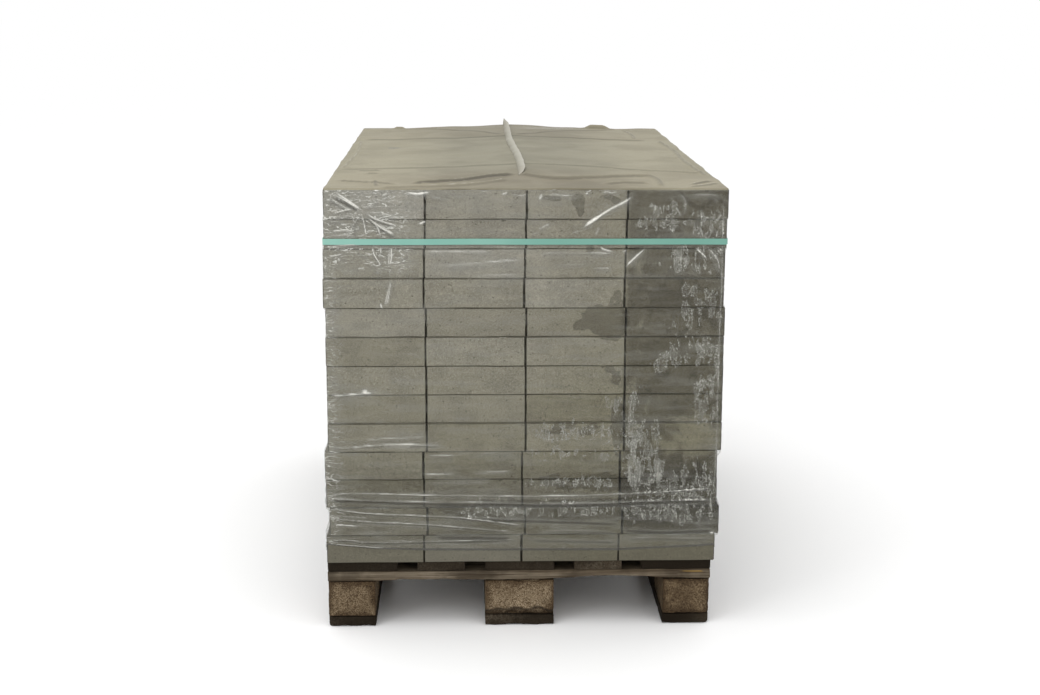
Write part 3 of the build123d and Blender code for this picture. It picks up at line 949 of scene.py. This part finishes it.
# The top: creases of the tucked-in ends, a crease across it, and slack by its sides
folds += [(4, path, *form) for path, *form in [
    ([(-235, -530), (-178, -522), (-129, -502), (-73, -466), (-15, -440)], 7, 5, 0.3, 0.6),
    ([(-10, -440), (61, -502), (118, -486), (190, -452), (259, -410), (278, -470),
      (270, -596)], 7.5, 5, 0.3, 0.38),
    ([(-297, -596), (-203, -586), (-107, -570), (-29, -505)], 8, 4, 0.5, 0.3),
    ([(-303, -500), (-296, -590)], 5, 2.5, 0.2, 0.5),
    ([(-353, -318), (-327, -335), (-299, -322)], 8, 2, 0, 0.35),
    ([(-333, -378), (-299, -377)], 8, 2, 0, 0.35),
    ([(-400, -305), (-223, -288), (-46, -290), (13, -286), (193, -294), (396, -364)], 7.5, 2.5, 0.25, 0.36),
    ([(-382, 312), (-212, 306), (-33, 300), (179, 312), (349, 304)], 7, 2.5, 0.25, 0.42),
    ([(308, 537), (320, 435), (315, 323)], 6, 3, 0.3, 0.4),
    ([(318, -600), (359, -566), (398, -526)], 5, 3, 0.6, 0.4),
    ([(330, -560), (352, -530), (390, -500)], 5, 3, 0.5, 0.5),
    ([(150, -560), (215, -530), (262, -545)], 7, 4, 0.3, 0.4),
    ([(-390, -480), (-320, -510), (-250, -545)], 6, 3, 0.3, 0.4),
    ([(-300, 600), (-120, 500), (-16, 330)], 7, 2, 0.25, 0.36),
    ([(300, 600), (140, 500), (0, 330)], 7, 2, 0.25, 0.36),
    ([(-385, -300), (-372, 0), (-384, 280)], 5, 3, 0.3, 0.3),
    ([(388, -420), (372, -180), (384, 60), (370, 260)], 6, 4, 0.3, 0.4),
    ([(205, 606), (240, 600), (280, 606)], 7, 10, 0.3, 0.3),
    ([(-318, 606), (-300, 604), (-285, 606)], 6, 5, 0.3, 0.3),
]]


def bent(start, way, bend):
    """A fold's path: from a start along a way, bent in its middle."""
    start, way = np.array(start), np.array(way)
    return [start, start + way * 0.5 + bend, start + way]


# The other sides are folded in the same way, by chance with a fixed seed: pulls from the top corners,
# pulls from the upright edges, long folds above the hem, and small ones all over
eaves, lowest, highest = 920, 320, 810
random = np.random.default_rng(7)
for panel, reach in ((1, half_depth / MM), (2, half_width / MM), (3, half_depth / MM)):
    for corner in (-1, 1):
        for _ in range(8):
            run, drop = random.uniform(40, 190), random.uniform(25, 140)
            start, bend = corner * (reach - random.uniform(20, 60)), random.uniform(-14, 14)
            path = bent((start, eaves), (-corner * run, -drop), (0, bend))
            folds.append((panel, path, random.uniform(3, 4.5), 3, random.uniform(0.3, 0.75), 0.4))
        for _ in range(10):
            level, run = random.uniform(lowest, highest), random.uniform(50, 220)
            start, climb = corner * (reach - 12), random.uniform(-8, 14)
            middle = (start - corner * run * 0.5, level + climb * 0.6)
            path = [(start, level), middle, (start - corner * run, level + climb)]
            folds.append((panel, path, random.uniform(3, 4), 3, random.uniform(0.3, 0.75), 0.4))
    for level in (180, 193, 212, 230, 246, 266, 282, 297):
        sway = random.uniform(-8, 8, 5)
        path = [(share * reach, level + s) for share, s in zip((-0.99, -0.5, 0, 0.5, 0.99), sway)]
        folds.append((panel, path, random.uniform(4, 6), 4, random.uniform(0.2, 0.4), 0.6))
    for _ in range(36):
        start = random.uniform(-0.9, 0.9) * reach, random.uniform(lowest, eaves - 10)
        way = random.uniform(-80, 80), random.uniform(-12, 12)
        path = bent(start, way, random.uniform(-5, 5, 2))
        folds.append((panel, path, random.uniform(2.5, 4.5), 2, random.uniform(0.15, 0.55), 0.3))
# Small crinkles on the front: where from and to, how many, which way they run, and how bright their painted
# highlights are
for left, right, low, high, count, slope, most in (
    (-400, -340, 826, 915, 9, 0.2, 0.45), (-390, -300, 866, 918, 6, -0.75, 0.4),
    (-325, -235, 826, 876, 6, -0.6, 0.4), (-330, -250, 762, 812, 4, 1.1, 0.3),
    (-400, -345, 772, 812, 5, 0.1, 0.4), (215, 395, 830, 918, 22, -1.4, 0.35),
    (330, 395, 760, 812, 12, -1.0, 0.5), (338, 396, 824, 868, 16, 8, 0.5),
    (-200, 200, 903, 921, 20, 0.15, 0.5), (-400, -220, 180, 300, 18, -0.03, 0.35),
    (-180, 390, 180, 300, 18, -0.01, 0.3), (-400, 180, 330, 480, 14, 0.02, 0.25),
    (-190, 190, 740, 812, 12, 0.03, 0.3),
):
    for _ in range(count):
        start = random.uniform(left, right), random.uniform(low, high)
        run = random.uniform(8, 30) if abs(slope) > 0.05 else random.uniform(25, 90)
        turn = math.atan(slope) + random.uniform(-0.35, 0.35) * min(1, abs(slope) * 5)
        way = run * np.array([math.cos(turn), math.sin(turn)])
        path = bent(start, way, random.uniform(-2, 2, 2))
        white, dark = random.uniform(0.15, 1) * most, random.uniform(0, 0.3)
        folds.append((0, path, random.uniform(1.6, 2.6), 1.5, white, dark))


def film_shell():
    """The hood's four sides and top as a grid, finer along every fold."""
    across_step, deep_step, edge_rows = 7 * MM, 14 * MM, np.array([0, 1.5, 4, 8]) * MM
    across = spread(-1, 1, across_step / half_width, edge_rows / half_width)
    deep = spread(-1, 1, deep_step / half_depth, edge_rows / half_depth)
    # Rows up the sides, closer where most folds are: above the hem and by the top
    close_step, plain_step, lower, upper, edge_room = 6 * MM, 10 * MM, 320 * MM, 740 * MM, 8 * MM
    heights = np.concatenate([
        hem_height + np.array([0, 1.5, 3]) * MM,
        np.arange(hem_height + close_step, lower, close_step),
        np.arange(lower, upper, plain_step),
        np.arange(upper, film_top - edge_room, close_step),
        film_top + np.array([-6, -3.5, -1.5, 0]) * MM,
    ])
    points, faces = gridded_box([across, deep, heights])
    shell = bmesh.new()
    corners = [shell.verts.new(p) for p in points]
    for face in faces:
        if max(points[i][2] for i in face) > heights[0]:
            shell.faces.new([corners[i] for i in face])
    bmesh.ops.delete(shell, geom=[v for v in shell.verts if not v.link_faces], context="VERTS")
    # Faces beside a fold are split in two rounds: every fold first, then the front's narrow ones.
    # A fold that runs nearly level needs finer rows only.
    level_slope = 0.15
    for panels, widest, share, margin in (((0, 1, 2, 3, 4), 99, 2.2, 4 * MM), ((0,), 4, 1.3, 2 * MM)):
        shell.verts.index_update()
        _, _, panel, a, b = on_load(np.array([v.co for v in shell.verts]))
        near, both_ways = np.zeros((2, len(panel)), bool)
        for fold in folds:
            if fold[0] in panels and fold[2] <= widest:
                reach = share * fold[2] * MM + margin
                at = beside_fold(panel, a, b, fold, reach)
                close = along_fold(a[at], b[at], fold[1])[0] < reach
                near[at] |= close
                run, rise = np.ptp(np.array(fold[1]), axis=0)
                both_ways[at] |= close & (rise > level_slope * run)
        edges = []
        for edge in shell.edges:
            i, j = [v.index for v in edge.verts]
            upright = abs(a[i] - a[j]) < abs(b[i] - b[j])
            if near[i] and near[j] and (upright or both_ways[i] and both_ways[j]):
                edges.append(edge)
        bmesh.ops.subdivide_edges(shell, edges=edges, cuts=1, use_grid_fill=True)
    return shell


def shrink_film():
    """Clear film: painted highlights along its creases, painted shade under its folds, fogged by drops
    where damp, matt beige under its dust.
    """
    material, tree, place = finish_start("polyethylene film, blown and shrunk on")
    marks = {}
    for name in ("crease_highlight", "underside_shade", "fog", "haze_and_sheen", "dust"):
        marks[name] = add(tree, "ShaderNodeAttribute", attribute_name=name).node.outputs["Fac"]
    haze_size, cloud_size, drop_size = (110 * MM, 110 * MM, 15 * MM), 38 * MM, 3.2 * MM
    dust_size, speck_size, crinkle_size, crinkle_depth = 160 * MM, 5 * MM, 14 * MM, 2 * MM
    level_haze = {"Vector": place, "Scale": [1 / size for size in haze_size]}
    level_haze = add(tree, "ShaderNodeMapping", level_haze)
    haze = add(tree, "ShaderNodeTexNoise", {"Vector": level_haze, "Scale": 1, "Detail": 4})
    cloud = add(tree, "ShaderNodeTexNoise", {"Vector": place, "Scale": 1 / cloud_size, "Detail": 4})
    drops = add(tree, "ShaderNodeTexNoise", {"Vector": place, "Scale": 1 / drop_size, "Detail": 2})
    # Fog fills upright patches, which have run together where there is more of it. Drops bead along
    # their rims and stand in them, and some have run down in fine trickles.
    patch_size, trickle_size = (12 * MM, 12 * MM, 34 * MM), (3.6 * MM, 3.6 * MM, 60 * MM)
    upright = []
    for size, detail in ((patch_size, 5), (trickle_size, 2)):
        stretch = add(tree, "ShaderNodeMapping", {"Vector": place, "Scale": [1 / part for part in size]})
        cells = {"Vector": stretch, "Scale": 1, "Detail": detail, "Roughness": 0.6, "Distortion": 0.5}
        upright.append(add(tree, "ShaderNodeTexNoise", cells))
    level = add(tree, "ShaderNodeMath", {0: marks["fog"], 1: 0.5, 2: upright[0]}, operation="MULTIPLY_ADD")
    level = add(tree, "ShaderNodeMath", {0: level, 1: 0.8}, operation="SUBTRACT")
    from_rim = add(tree, "ShaderNodeMath", {0: level}, operation="ABSOLUTE")
    cover = add(tree, "ShaderNodeTexNoise", {"Vector": place, "Scale": 1 / dust_size, "Detail": 5})
    faded = {}
    for name, pattern, low, high, least, most in (
        ("fill", level, -0.015, 0.02, 0, 1),
        ("rims", from_rim, 0.04, 0.005, 0, 1),
        ("beaded", drops, 0.44, 0.57, 0.08, 0.8),
        ("trickles", upright[1], 0.46, 0.64, 0.02, 0.3),
        ("beads", drops, 0.52, 0.66, 0, 0.36),
        ("dense", marks["fog"], 0.6, 0.74, 0, 0.24),
        ("clear", haze, 0.46, 0.7, 0.015, 0.15),
        ("misted", cloud, 0.35, 0.65, 0.12, 0.3),
        ("broken", drops, 0.3, 0.6, 0.6, 1.05),
        ("thick", cover, 0.3, 0.7, 0.86, 0.97),
    ):
        fade = {0: pattern, 1: low, 2: high, 3: least, 4: most}
        faded[name] = add(tree, "ShaderNodeMapRange", fade, interpolation_type="SMOOTHSTEP")
    rims = add(tree, "ShaderNodeMath", {0: faded["rims"], 1: faded["beaded"]}, operation="MULTIPLY")
    inside = faded["trickles"]
    for name, how in (("beads", "ADD"), ("dense", "ADD"), ("fill", "MULTIPLY")):
        inside = add(tree, "ShaderNodeMath", {0: inside, 1: faded[name]}, operation=how)
    wet = add(tree, "ShaderNodeMath", {0: rims, 1: inside}, operation="MAXIMUM")
    fogged = add(tree, "ShaderNodeMapRange", {0: marks["fog"], 1: 0, 2: 0.2, 3: 0, 4: 1})
    # A web of fine crinkles with painted highlights lies over it, thickest where it hangs loose
    web_size = (42 * MM, 42 * MM, 10 * MM)
    web = add(tree, "ShaderNodeMapping", {"Vector": place, "Scale": [1 / size for size in web_size]})
    web = add(tree, "ShaderNodeTexNoise", {"Vector": web, "Scale": 1, "Detail": 3, "Distortion": 0.8})
    web = add(tree, "ShaderNodeMath", {0: web, 1: 0.5, 2: 0.012}, operation="COMPARE")
    loose = add(tree, "ShaderNodeMapRange", {0: marks["haze_and_sheen"], 1: 0, 2: 0.7, 3: 0.05, 4: 0.4})
    bare = add(tree, "ShaderNodeMath", {0: 1, 1: marks["dust"]}, operation="SUBTRACT")
    for share in (loose, bare):
        web = add(tree, "ShaderNodeMath", {0: web, 1: share}, operation="MULTIPLY")
    highlights = add(tree, "ShaderNodeMath", {0: marks["crease_highlight"], 1: web}, operation="MAXIMUM")
    opacity = faded["clear"]
    for mark, share in (
        (highlights, faded["broken"]),
        (marks["underside_shade"], 0.6),
        (fogged, wet),
        (marks["haze_and_sheen"], faded["misted"]),
        (marks["dust"], faded["thick"]),
    ):
        part = add(tree, "ShaderNodeMath", {0: mark, 1: share}, operation="MULTIPLY")
        opacity = add(tree, "ShaderNodeMath", {0: opacity, 1: part}, operation="ADD", use_clamp=True)
    specks = add(tree, "ShaderNodeTexNoise", {"Vector": place, "Scale": 1 / speck_size, "Detail": 3})
    sideways, depth, _ = add(tree, "ShaderNodeSeparateXYZ", {"Vector": place}).node.outputs
    aside = add(tree, "ShaderNodeMath", {0: sideways}, operation="ABSOLUTE")
    beige = tinted(tree, hex_colour("736c58"), [
        (cover, 0.38, 0.66, 0.5, "847e69"),
        (depth, -0.48, -0.3, 0.6, "7f7c67"),
        (depth, 0.29, 0.31, 0.6, "756e59"),
        (aside, 0.1, 0.3, 0.55, "989179"),
        (specks, 0.5, 0.72, 0.3, "6b6252"),
    ])
    # Painted highlights whiten the clear film, and painted shade darkens it under folds, the strap and the
    # hem
    pale = tinted(tree, hex_colour("a6a69d"), [(highlights, 0.05, 0.5, 1, "eeeee6")])
    colour = add(tree, "ShaderNodeMix", {"Factor": marks["dust"], "A": pale, "B": beige}, data_type="RGBA")
    colour = tinted(tree, colour, [
        (marks["crease_highlight"], 0.1, 0.6, 0.6, "e6e3da"),
        (marks["underside_shade"], 0, 0.7, 0.85, "2f2b22"),
    ])
    roughness = add(tree, "ShaderNodeMapRange", {"Value": marks["dust"], "To Min": 0.14, "To Max": 0.6})
    crinkles = add(tree, "ShaderNodeTexNoise", {"Vector": place, "Scale": 1 / crinkle_size, "Detail": 4})
    bump = add(tree, "ShaderNodeBump", {"Height": crinkles, "Strength": 0.3, "Distance": crinkle_depth})
    look = {"Base Color": colour, "Roughness": roughness, "Alpha": opacity, "Normal": bump, "IOR": 1.51}
    finish_end(tree, look)
    return material


film_material = shrink_film()
shell = film_shell()
sheet = np.array([v.co for v in shell.verts])
spot, core, panel, along, up = on_load(sheet)
outward = spot - core
outward /= np.linalg.norm(outward, axis=1, keepdims=True)
lift, crease_highlight, underside_shade, haze_and_sheen = np.zeros((4, len(spot)))
break_size, fade_size, long_run = 30 * MM, 85 * MM, 150
broken = np.clip(0.85 + 0.5 * noise_at(spot, break_size, 41), 0.5, 1)
fading = np.clip(0.75 + 1.1 * noise_at(spot * [1, 1, 3], fade_size, 43), 0.25, 1)
for fold in folds:
    _, path, width, height, white, dark = fold
    width *= MM
    at = beside_fold(panel, along, up, fold, 7 * width)
    away, taper = along_fold(along[at], up[at], path)
    lift[at] += height * MM * taper * bell(away / width)
    # A broad painted highlight lies on the crest, with a faint painted sheen around it
    flank = 0.35 * white * taper * bell(1.2 * away / width)
    haze_and_sheen[at] = np.maximum(haze_and_sheen[at], 0.4 * white * taper * bell(away / (3.5 * width)))
    # A thin broken painted highlight runs along the upper flank, and painted shade lies under the fold
    above = along_fold(along[at], up[at] - 0.3 * width, path)[0]
    glint = white * taper * broken[at] * bell(3 * above / width)
    if np.ptp(np.array(path)[:, 0]) > long_run:
        glint *= fading[at]
    crease_highlight[at] = np.maximum(crease_highlight[at], np.maximum(flank, glint))
    below = along_fold(along[at], up[at] + 1.3 * width, path)[0]
    underside_shade[at] = np.maximum(underside_shade[at], dark * taper * bell(1.1 * below / width))
on_top, on_side, on_front = panel == 4, panel < 4, panel == 0
# Between the folds the top sags and the sides hang a little slack, in wide and in small waves
sag_height, slack_height, slack_least = 2.2 * MM, 0.9 * MM, -0.5 * MM
top_spot, side_spot = spot[on_top] * [1, 1, 0], spot[on_side]
sag = noise_at(top_spot, 110 * MM, 21) + 0.5 * noise_at(top_spot, 45 * MM, 22)
lift[on_top] += sag_height * (sag + 0.4)
slack = noise_at(side_spot * [1, 1, 2.2], 60 * MM, 31)
slack += 0.6 * noise_at(side_spot * [1, 1, 3], 25 * MM, 32)
lift[on_side] += np.clip(slack_height * slack, slack_least, None)
# The strap presses the film flat
pressed = bell((spot[:, 2] - strap_height) / (8 * MM)) * on_side
lift *= 1 - 0.9 * pressed
crease_highlight *= 1 - 0.7 * pressed
underside_shade *= 1 - np.clip(1.5 * crease_highlight, 0, 1)
for vertex, point in zip(shell.verts, core + outward * (film_radius + lift)[:, None]):
    vertex.co = point
# Fog inside the front right: zones in mm across and up with how thick it is, and along the right side
fog_edge, fog_sway, fog_rise = 30, 18, 14
fog, drift = np.zeros(len(spot)), noise_at(spot, 26 * MM, 52)
fog_across, fog_up = along / MM + fog_sway * drift, up / MM + fog_rise * drift
for left, right, low, high, thick in (
    (212, 312, 840, 872, 0.7), (236, 320, 862, 905, 0.6), (330, 398, 822, 888, 0.64),
    (282, 330, 752, 815, 0.74), (335, 398, 748, 812, 0.55), (205, 260, 755, 775, 0.55),
    (308, 398, 652, 736, 0.58), (290, 314, 556, 660, 0.62), (318, 346, 560, 662, 0.58),
    (334, 398, 556, 640, 0.6), (258, 330, 548, 606, 0.6), (336, 398, 440, 546, 0.62),
    (208, 234, 420, 520, 0.74), (204, 250, 300, 440, 0.72), (240, 286, 360, 450, 0.63),
    (244, 300, 300, 372, 0.72), (300, 340, 288, 350, 0.62), (340, 395, 298, 368, 0.54),
    (20, 205, 400, 450, 0.58), (0, 205, 366, 394, 0.6), (0, 205, 300, 332, 0.62),
    (-150, 205, 240, 274, 0.58), (205, 398, 226, 330, 0.58), (150, 204, 440, 500, 0.54),
):
    inside = on_front * float(thick)
    for value, start, end in ((fog_across, left, right), (fog_up, low, high)):
        inside *= np.clip((value - start) / fog_edge + 0.5, 0, 1)
        inside *= np.clip((end - value) / fog_edge + 0.5, 0, 1)
    fog = np.maximum(fog, inside)
fog = np.maximum(fog, 0.55 * np.clip((-0.3 - along) / 0.25, 0, 1) * (panel == 1))
# Haze and painted sheen of crinkled film: up the front left edge, in its top corner, over the left side and
# above the hem
top_corner = np.clip((-0.2 - along) / 0.05, 0, 1) * np.clip((up - 0.74) / 0.03, 0, 1)
for most, zone in (
    (0.7, np.clip((-0.36 - along) / 0.03, 0, 1) * on_front),
    (0.75, top_corner * on_front),
    (0.5, panel == 3),
    (0.15, np.clip((0.3 - up) / 0.03, 0, 1) * on_side),
):
    haze_and_sheen = np.maximum(haze_and_sheen, most * zone)
# Painted shadow: a thin one under the strap, and one along the cut hem
strap_shadow, shadow_width, hem_shadow, dust_edge = 1.5 * MM, 2 * MM, 3.5 * MM, 4 * MM
below_strap = (strap_low.z - strap_shadow - spot[:, 2]) / shadow_width
underside_shade = np.maximum(underside_shade, 0.5 * bell(below_strap) * on_side)
underside_shade = np.where(sheet[:, 2] < hem_height + hem_shadow, 1, underside_shade)
below_top = film_top + tent(*spot.T[:2]) - spot[:, 2]
dust = np.where(on_top, 1.0, np.clip(1 - below_top / dust_edge, 0, 1))
hood = mesh_piece("film_hood_folded", [], [], film_material)
shell.to_mesh(hood.data)
shell.free()
hood.data.shade_smooth()
marks = {"crease_highlight": crease_highlight, "underside_shade": underside_shade, "fog": fog, "haze_and_sheen": haze_and_sheen, "dust": dust}
for name, values in marks.items():
    give(hood, name, np.clip(values, 0, 1))
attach(hood, "root")
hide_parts("film_hood")

# Seam of the hood: the weld that closes the bag, two films thick, along the middle of the top.
# It leans over to the right, stiff and wavy, and its back end sticks up.

seam_stations, seam_across, seam_width, seam_gap = 150, 7, 17 * MM, 1.2 * MM
seam_front, seam_back = 0.15 - film_front, half_depth - 1 * MM
seam_x, seam_shift, seam_sway, seam_wobble = -20 * MM, 10 * MM, 3 * MM, 2 * MM
seam_lean, lean_wobble, end_rise, end_from = 58, 14, 50, 0.86
points, faces = [], []
for i in range(seam_stations):
    share = i / (seam_stations - 1)
    y = seam_front + share * (seam_back - seam_front)
    middle = seam_x + seam_shift * (1 - share) + seam_sway * math.sin(7.5 * share)
    middle += seam_wobble * noise.noise(Vector((0, y / 0.05, 3)))
    foot = float(film_top + tent(np.array(middle), np.array(y))) + seam_gap
    raised = end_rise * max(0, share - end_from) / (1 - end_from)
    lean = math.radians(seam_lean - raised + lean_wobble * noise.noise(Vector((5, y / 0.08, 0))))
    width = seam_width * min(1, 0.15 + share / 0.07)
    for j in range(seam_across):
        s = j / (seam_across - 1)
        bend = lean * (0.35 + 0.85 * s)
        points.append((middle + width * s * math.sin(bend), y, foot + width * s * math.cos(bend)))
    if i:
        for j in range(seam_across - 1):
            a = (i - 1) * seam_across + j
            faces.append((a, a + 1, a + seam_across + 1, a + seam_across))
seam = mesh_piece("film_seam", points, faces, film_material)
seam.data.shade_smooth()
# A painted highlight that grows towards the seam's upper edge
give(seam, "crease_highlight", 0.1 + 0.2 * np.tile(np.linspace(0, 1, seam_across), seam_stations))
give(seam, "dust", np.full(len(points), 0.85))
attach(seam, "root")

# Strap: a flat band of extruded polyester, embossed against slipping, pulled tight around the hood.
# Its ends overlap and are friction welded at the back.

strap_width, strap_thickness, strap_gap = strap_high.z - strap_low.z, 0.7 * MM, 0.8 * MM
overlap_middle, overlap_half = 60 * MM, 140 * MM


def embossed_polyester():
    """Teal polyester: satin, pressed with a small diamond pattern, lighter in patches, with painted shade
    towards the right.
    """
    material, tree, place = finish_start("polyester strapping, extruded and embossed")
    shade_size, boss_size, boss_depth = 180 * MM, 2.4 * MM, 0.4 * MM
    shades = add(tree, "ShaderNodeTexNoise", {"Vector": place, "Scale": 1 / shade_size, "Detail": 3})
    sideways = add(tree, "ShaderNodeSeparateXYZ", {"Vector": place})
    teal = tinted(tree, hex_colour("74aa9b"), [
        (shades, 0.35, 0.65, 0.6, "8fbcae"),
        # Painted shade, darker towards the right
        (sideways, -0.35, 0.15, 0.45, "4f8474"),
    ])
    bosses = {"Vector": place, "Scale": 1 / boss_size, "Randomness": 0.25}
    diamonds = add(tree, "ShaderNodeTexVoronoi", bosses)
    bump = add(tree, "ShaderNodeBump", {"Height": diamonds, "Strength": 0.4, "Distance": boss_depth})
    look = {"Base Color": teal, "Roughness": 0.4, "IOR": 1.57, "Normal": bump}
    finish_end(tree, look)
    return material


def strap_path(extra):
    """Points and outward ways around the film at the strap's height, with rounded corners."""
    left, right, front, back = film_reach(strap_height)
    corners = ((1, -1, right, front), (1, 1, right, back), (-1, 1, left, back), (-1, -1, left, front))
    path, ways, corner_steps = [], [], 6
    for number, (sign_x, sign_y, x, y) in enumerate(corners):
        middle = Vector((sign_x * (x - film_radius), sign_y * (y - film_radius), strap_height))
        for step in range(corner_steps + 1):
            angle = math.radians(90 * (number - 1 + step / corner_steps))
            way = Vector((math.cos(angle), math.sin(angle), 0))
            path.append(middle + way * (film_radius + strap_gap + extra))
            ways.append(way)
    return path, ways


def along_path(path, ways, closed):
    """The same path with points a few centimetres apart on its straight runs, a little uneven."""
    fine, fine_ways, run_step, sway, sway_size = [], [], 30 * MM, 0.8 * MM, 150 * MM
    for i in range(len(path) if closed else len(path) - 1):
        start, end = path[i], path[(i + 1) % len(path)]
        count = max(1, round((end - start).length / run_step))
        for step in range(count):
            share = step / count
            at = start.lerp(end, share)
            fine.append(at + Vector((0, 0, sway * noise.noise(at / sway_size))))
            fine_ways.append(ways[i].lerp(ways[(i + 1) % len(path)], share).normalized())
    return fine, fine_ways


def band_piece(name, path, ways, closed, material):
    """A flat band along a path, outside it, with a thin closed section."""
    points, faces, half = [], [], strap_width / 2
    section = ((-half, 0), (half, 0), (half, 0.7), (0.9 * half, 1), (-0.9 * half, 1), (-half, 0.7))
    for at, way in zip(path, ways):
        for height, depth in section:
            points.append(at + way * (depth * strap_thickness) + Vector((0, 0, height)))
    size, count = len(section), len(path)
    for i in range(count if closed else count - 1):
        a, b = size * i, size * ((i + 1) % count)
        for j in range(size):
            after = (j + 1) % size
            faces.append((a + j, b + j, b + after, a + after))
    if not closed:
        faces.append(range(size))
        faces.append(range(size * count - 1, size * (count - 1) - 1, -1))
    return mesh_piece(name, points, faces, material)


polyester = embossed_polyester()
path, ways = along_path(*strap_path(0), True)
strap = band_piece("strap_band", path, ways, True, polyester)
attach(strap, "root")
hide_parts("strap")
outer_path, outer_ways = along_path(*strap_path(strap_thickness), True)
at_back = [(at, way) for at, way in zip(outer_path, outer_ways) if way.y > 0.99]
welded = [(at, way) for at, way in at_back if abs(at.x - overlap_middle) < overlap_half]
tail = band_piece("strap_overlap", *zip(*welded), False, polyester)
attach(tail, "root")

# Floor, light and camera: a plain pale floor under a soft white sky, with two weak softboxes.
# The camera stands where the photograph was taken, a little left of the middle and above the load.

floor_half = 40.0
paper, tree, _ = finish_start("pale studio floor")
finish_end(tree, {"Base Color": hex_colour("ffffff"), "Roughness": 1, "Specular IOR Level": 0})
ways = ((-1, -1), (1, -1), (1, 1), (-1, 1))
floor = mesh_piece("floor", [(x * floor_half, y * floor_half, 0) for x, y in ways], [(0, 1, 2, 3)], paper)

scene = bpy.context.scene
scene.view_settings.view_transform = "Standard"
scene.world = bpy.data.worlds.new("soft sky")
scene.world.use_nodes = True
sky = scene.world.node_tree.nodes["Background"].inputs
sky["Color"].default_value = (1, 1, 1, 1)
sky["Strength"].default_value = 1


def softbox(name, place, aim, width, height, power):
    """A rectangular area light at a place, turned to a point."""
    light = bpy.data.lights.new(name, "AREA")
    light.shape, light.size, light.size_y, light.energy = "RECTANGLE", width, height, power
    lamp = bpy.data.objects.new(name, light)
    lamp.location = place
    lamp.rotation_euler = (Vector(aim) - Vector(place)).to_track_quat("-Z", "Y").to_euler()
    scene.collection.objects.link(lamp)


softbox("overhead", place=(-0.5, -0.9, 3.4), aim=(0, -0.2, 0.9), width=2.2, height=2.2, power=30)
softbox("left front", place=(-2.6, -3.0, 2.6), aim=(0, -0.5, 0.7), width=1.0, height=1.6, power=14)

lens = bpy.data.cameras.new("camera")
lens.sensor_width, lens.lens, lens.shift_y = 36, 52.72, -0.06
camera = bpy.data.objects.new("camera", lens)
eye = (-0.116, -3.595, 1.335)
down, right, roll = math.radians(11.43), math.radians(2.02), math.radians(0.28)
aim = Matrix.Rotation(-right, 4, "Z") @ Matrix.Rotation(math.pi / 2 - down, 4, "X")
camera.matrix_world = Matrix.Translation(eye) @ aim @ Matrix.Rotation(roll, 4, "Z")
scene.collection.objects.link(camera)
scene.camera = camera
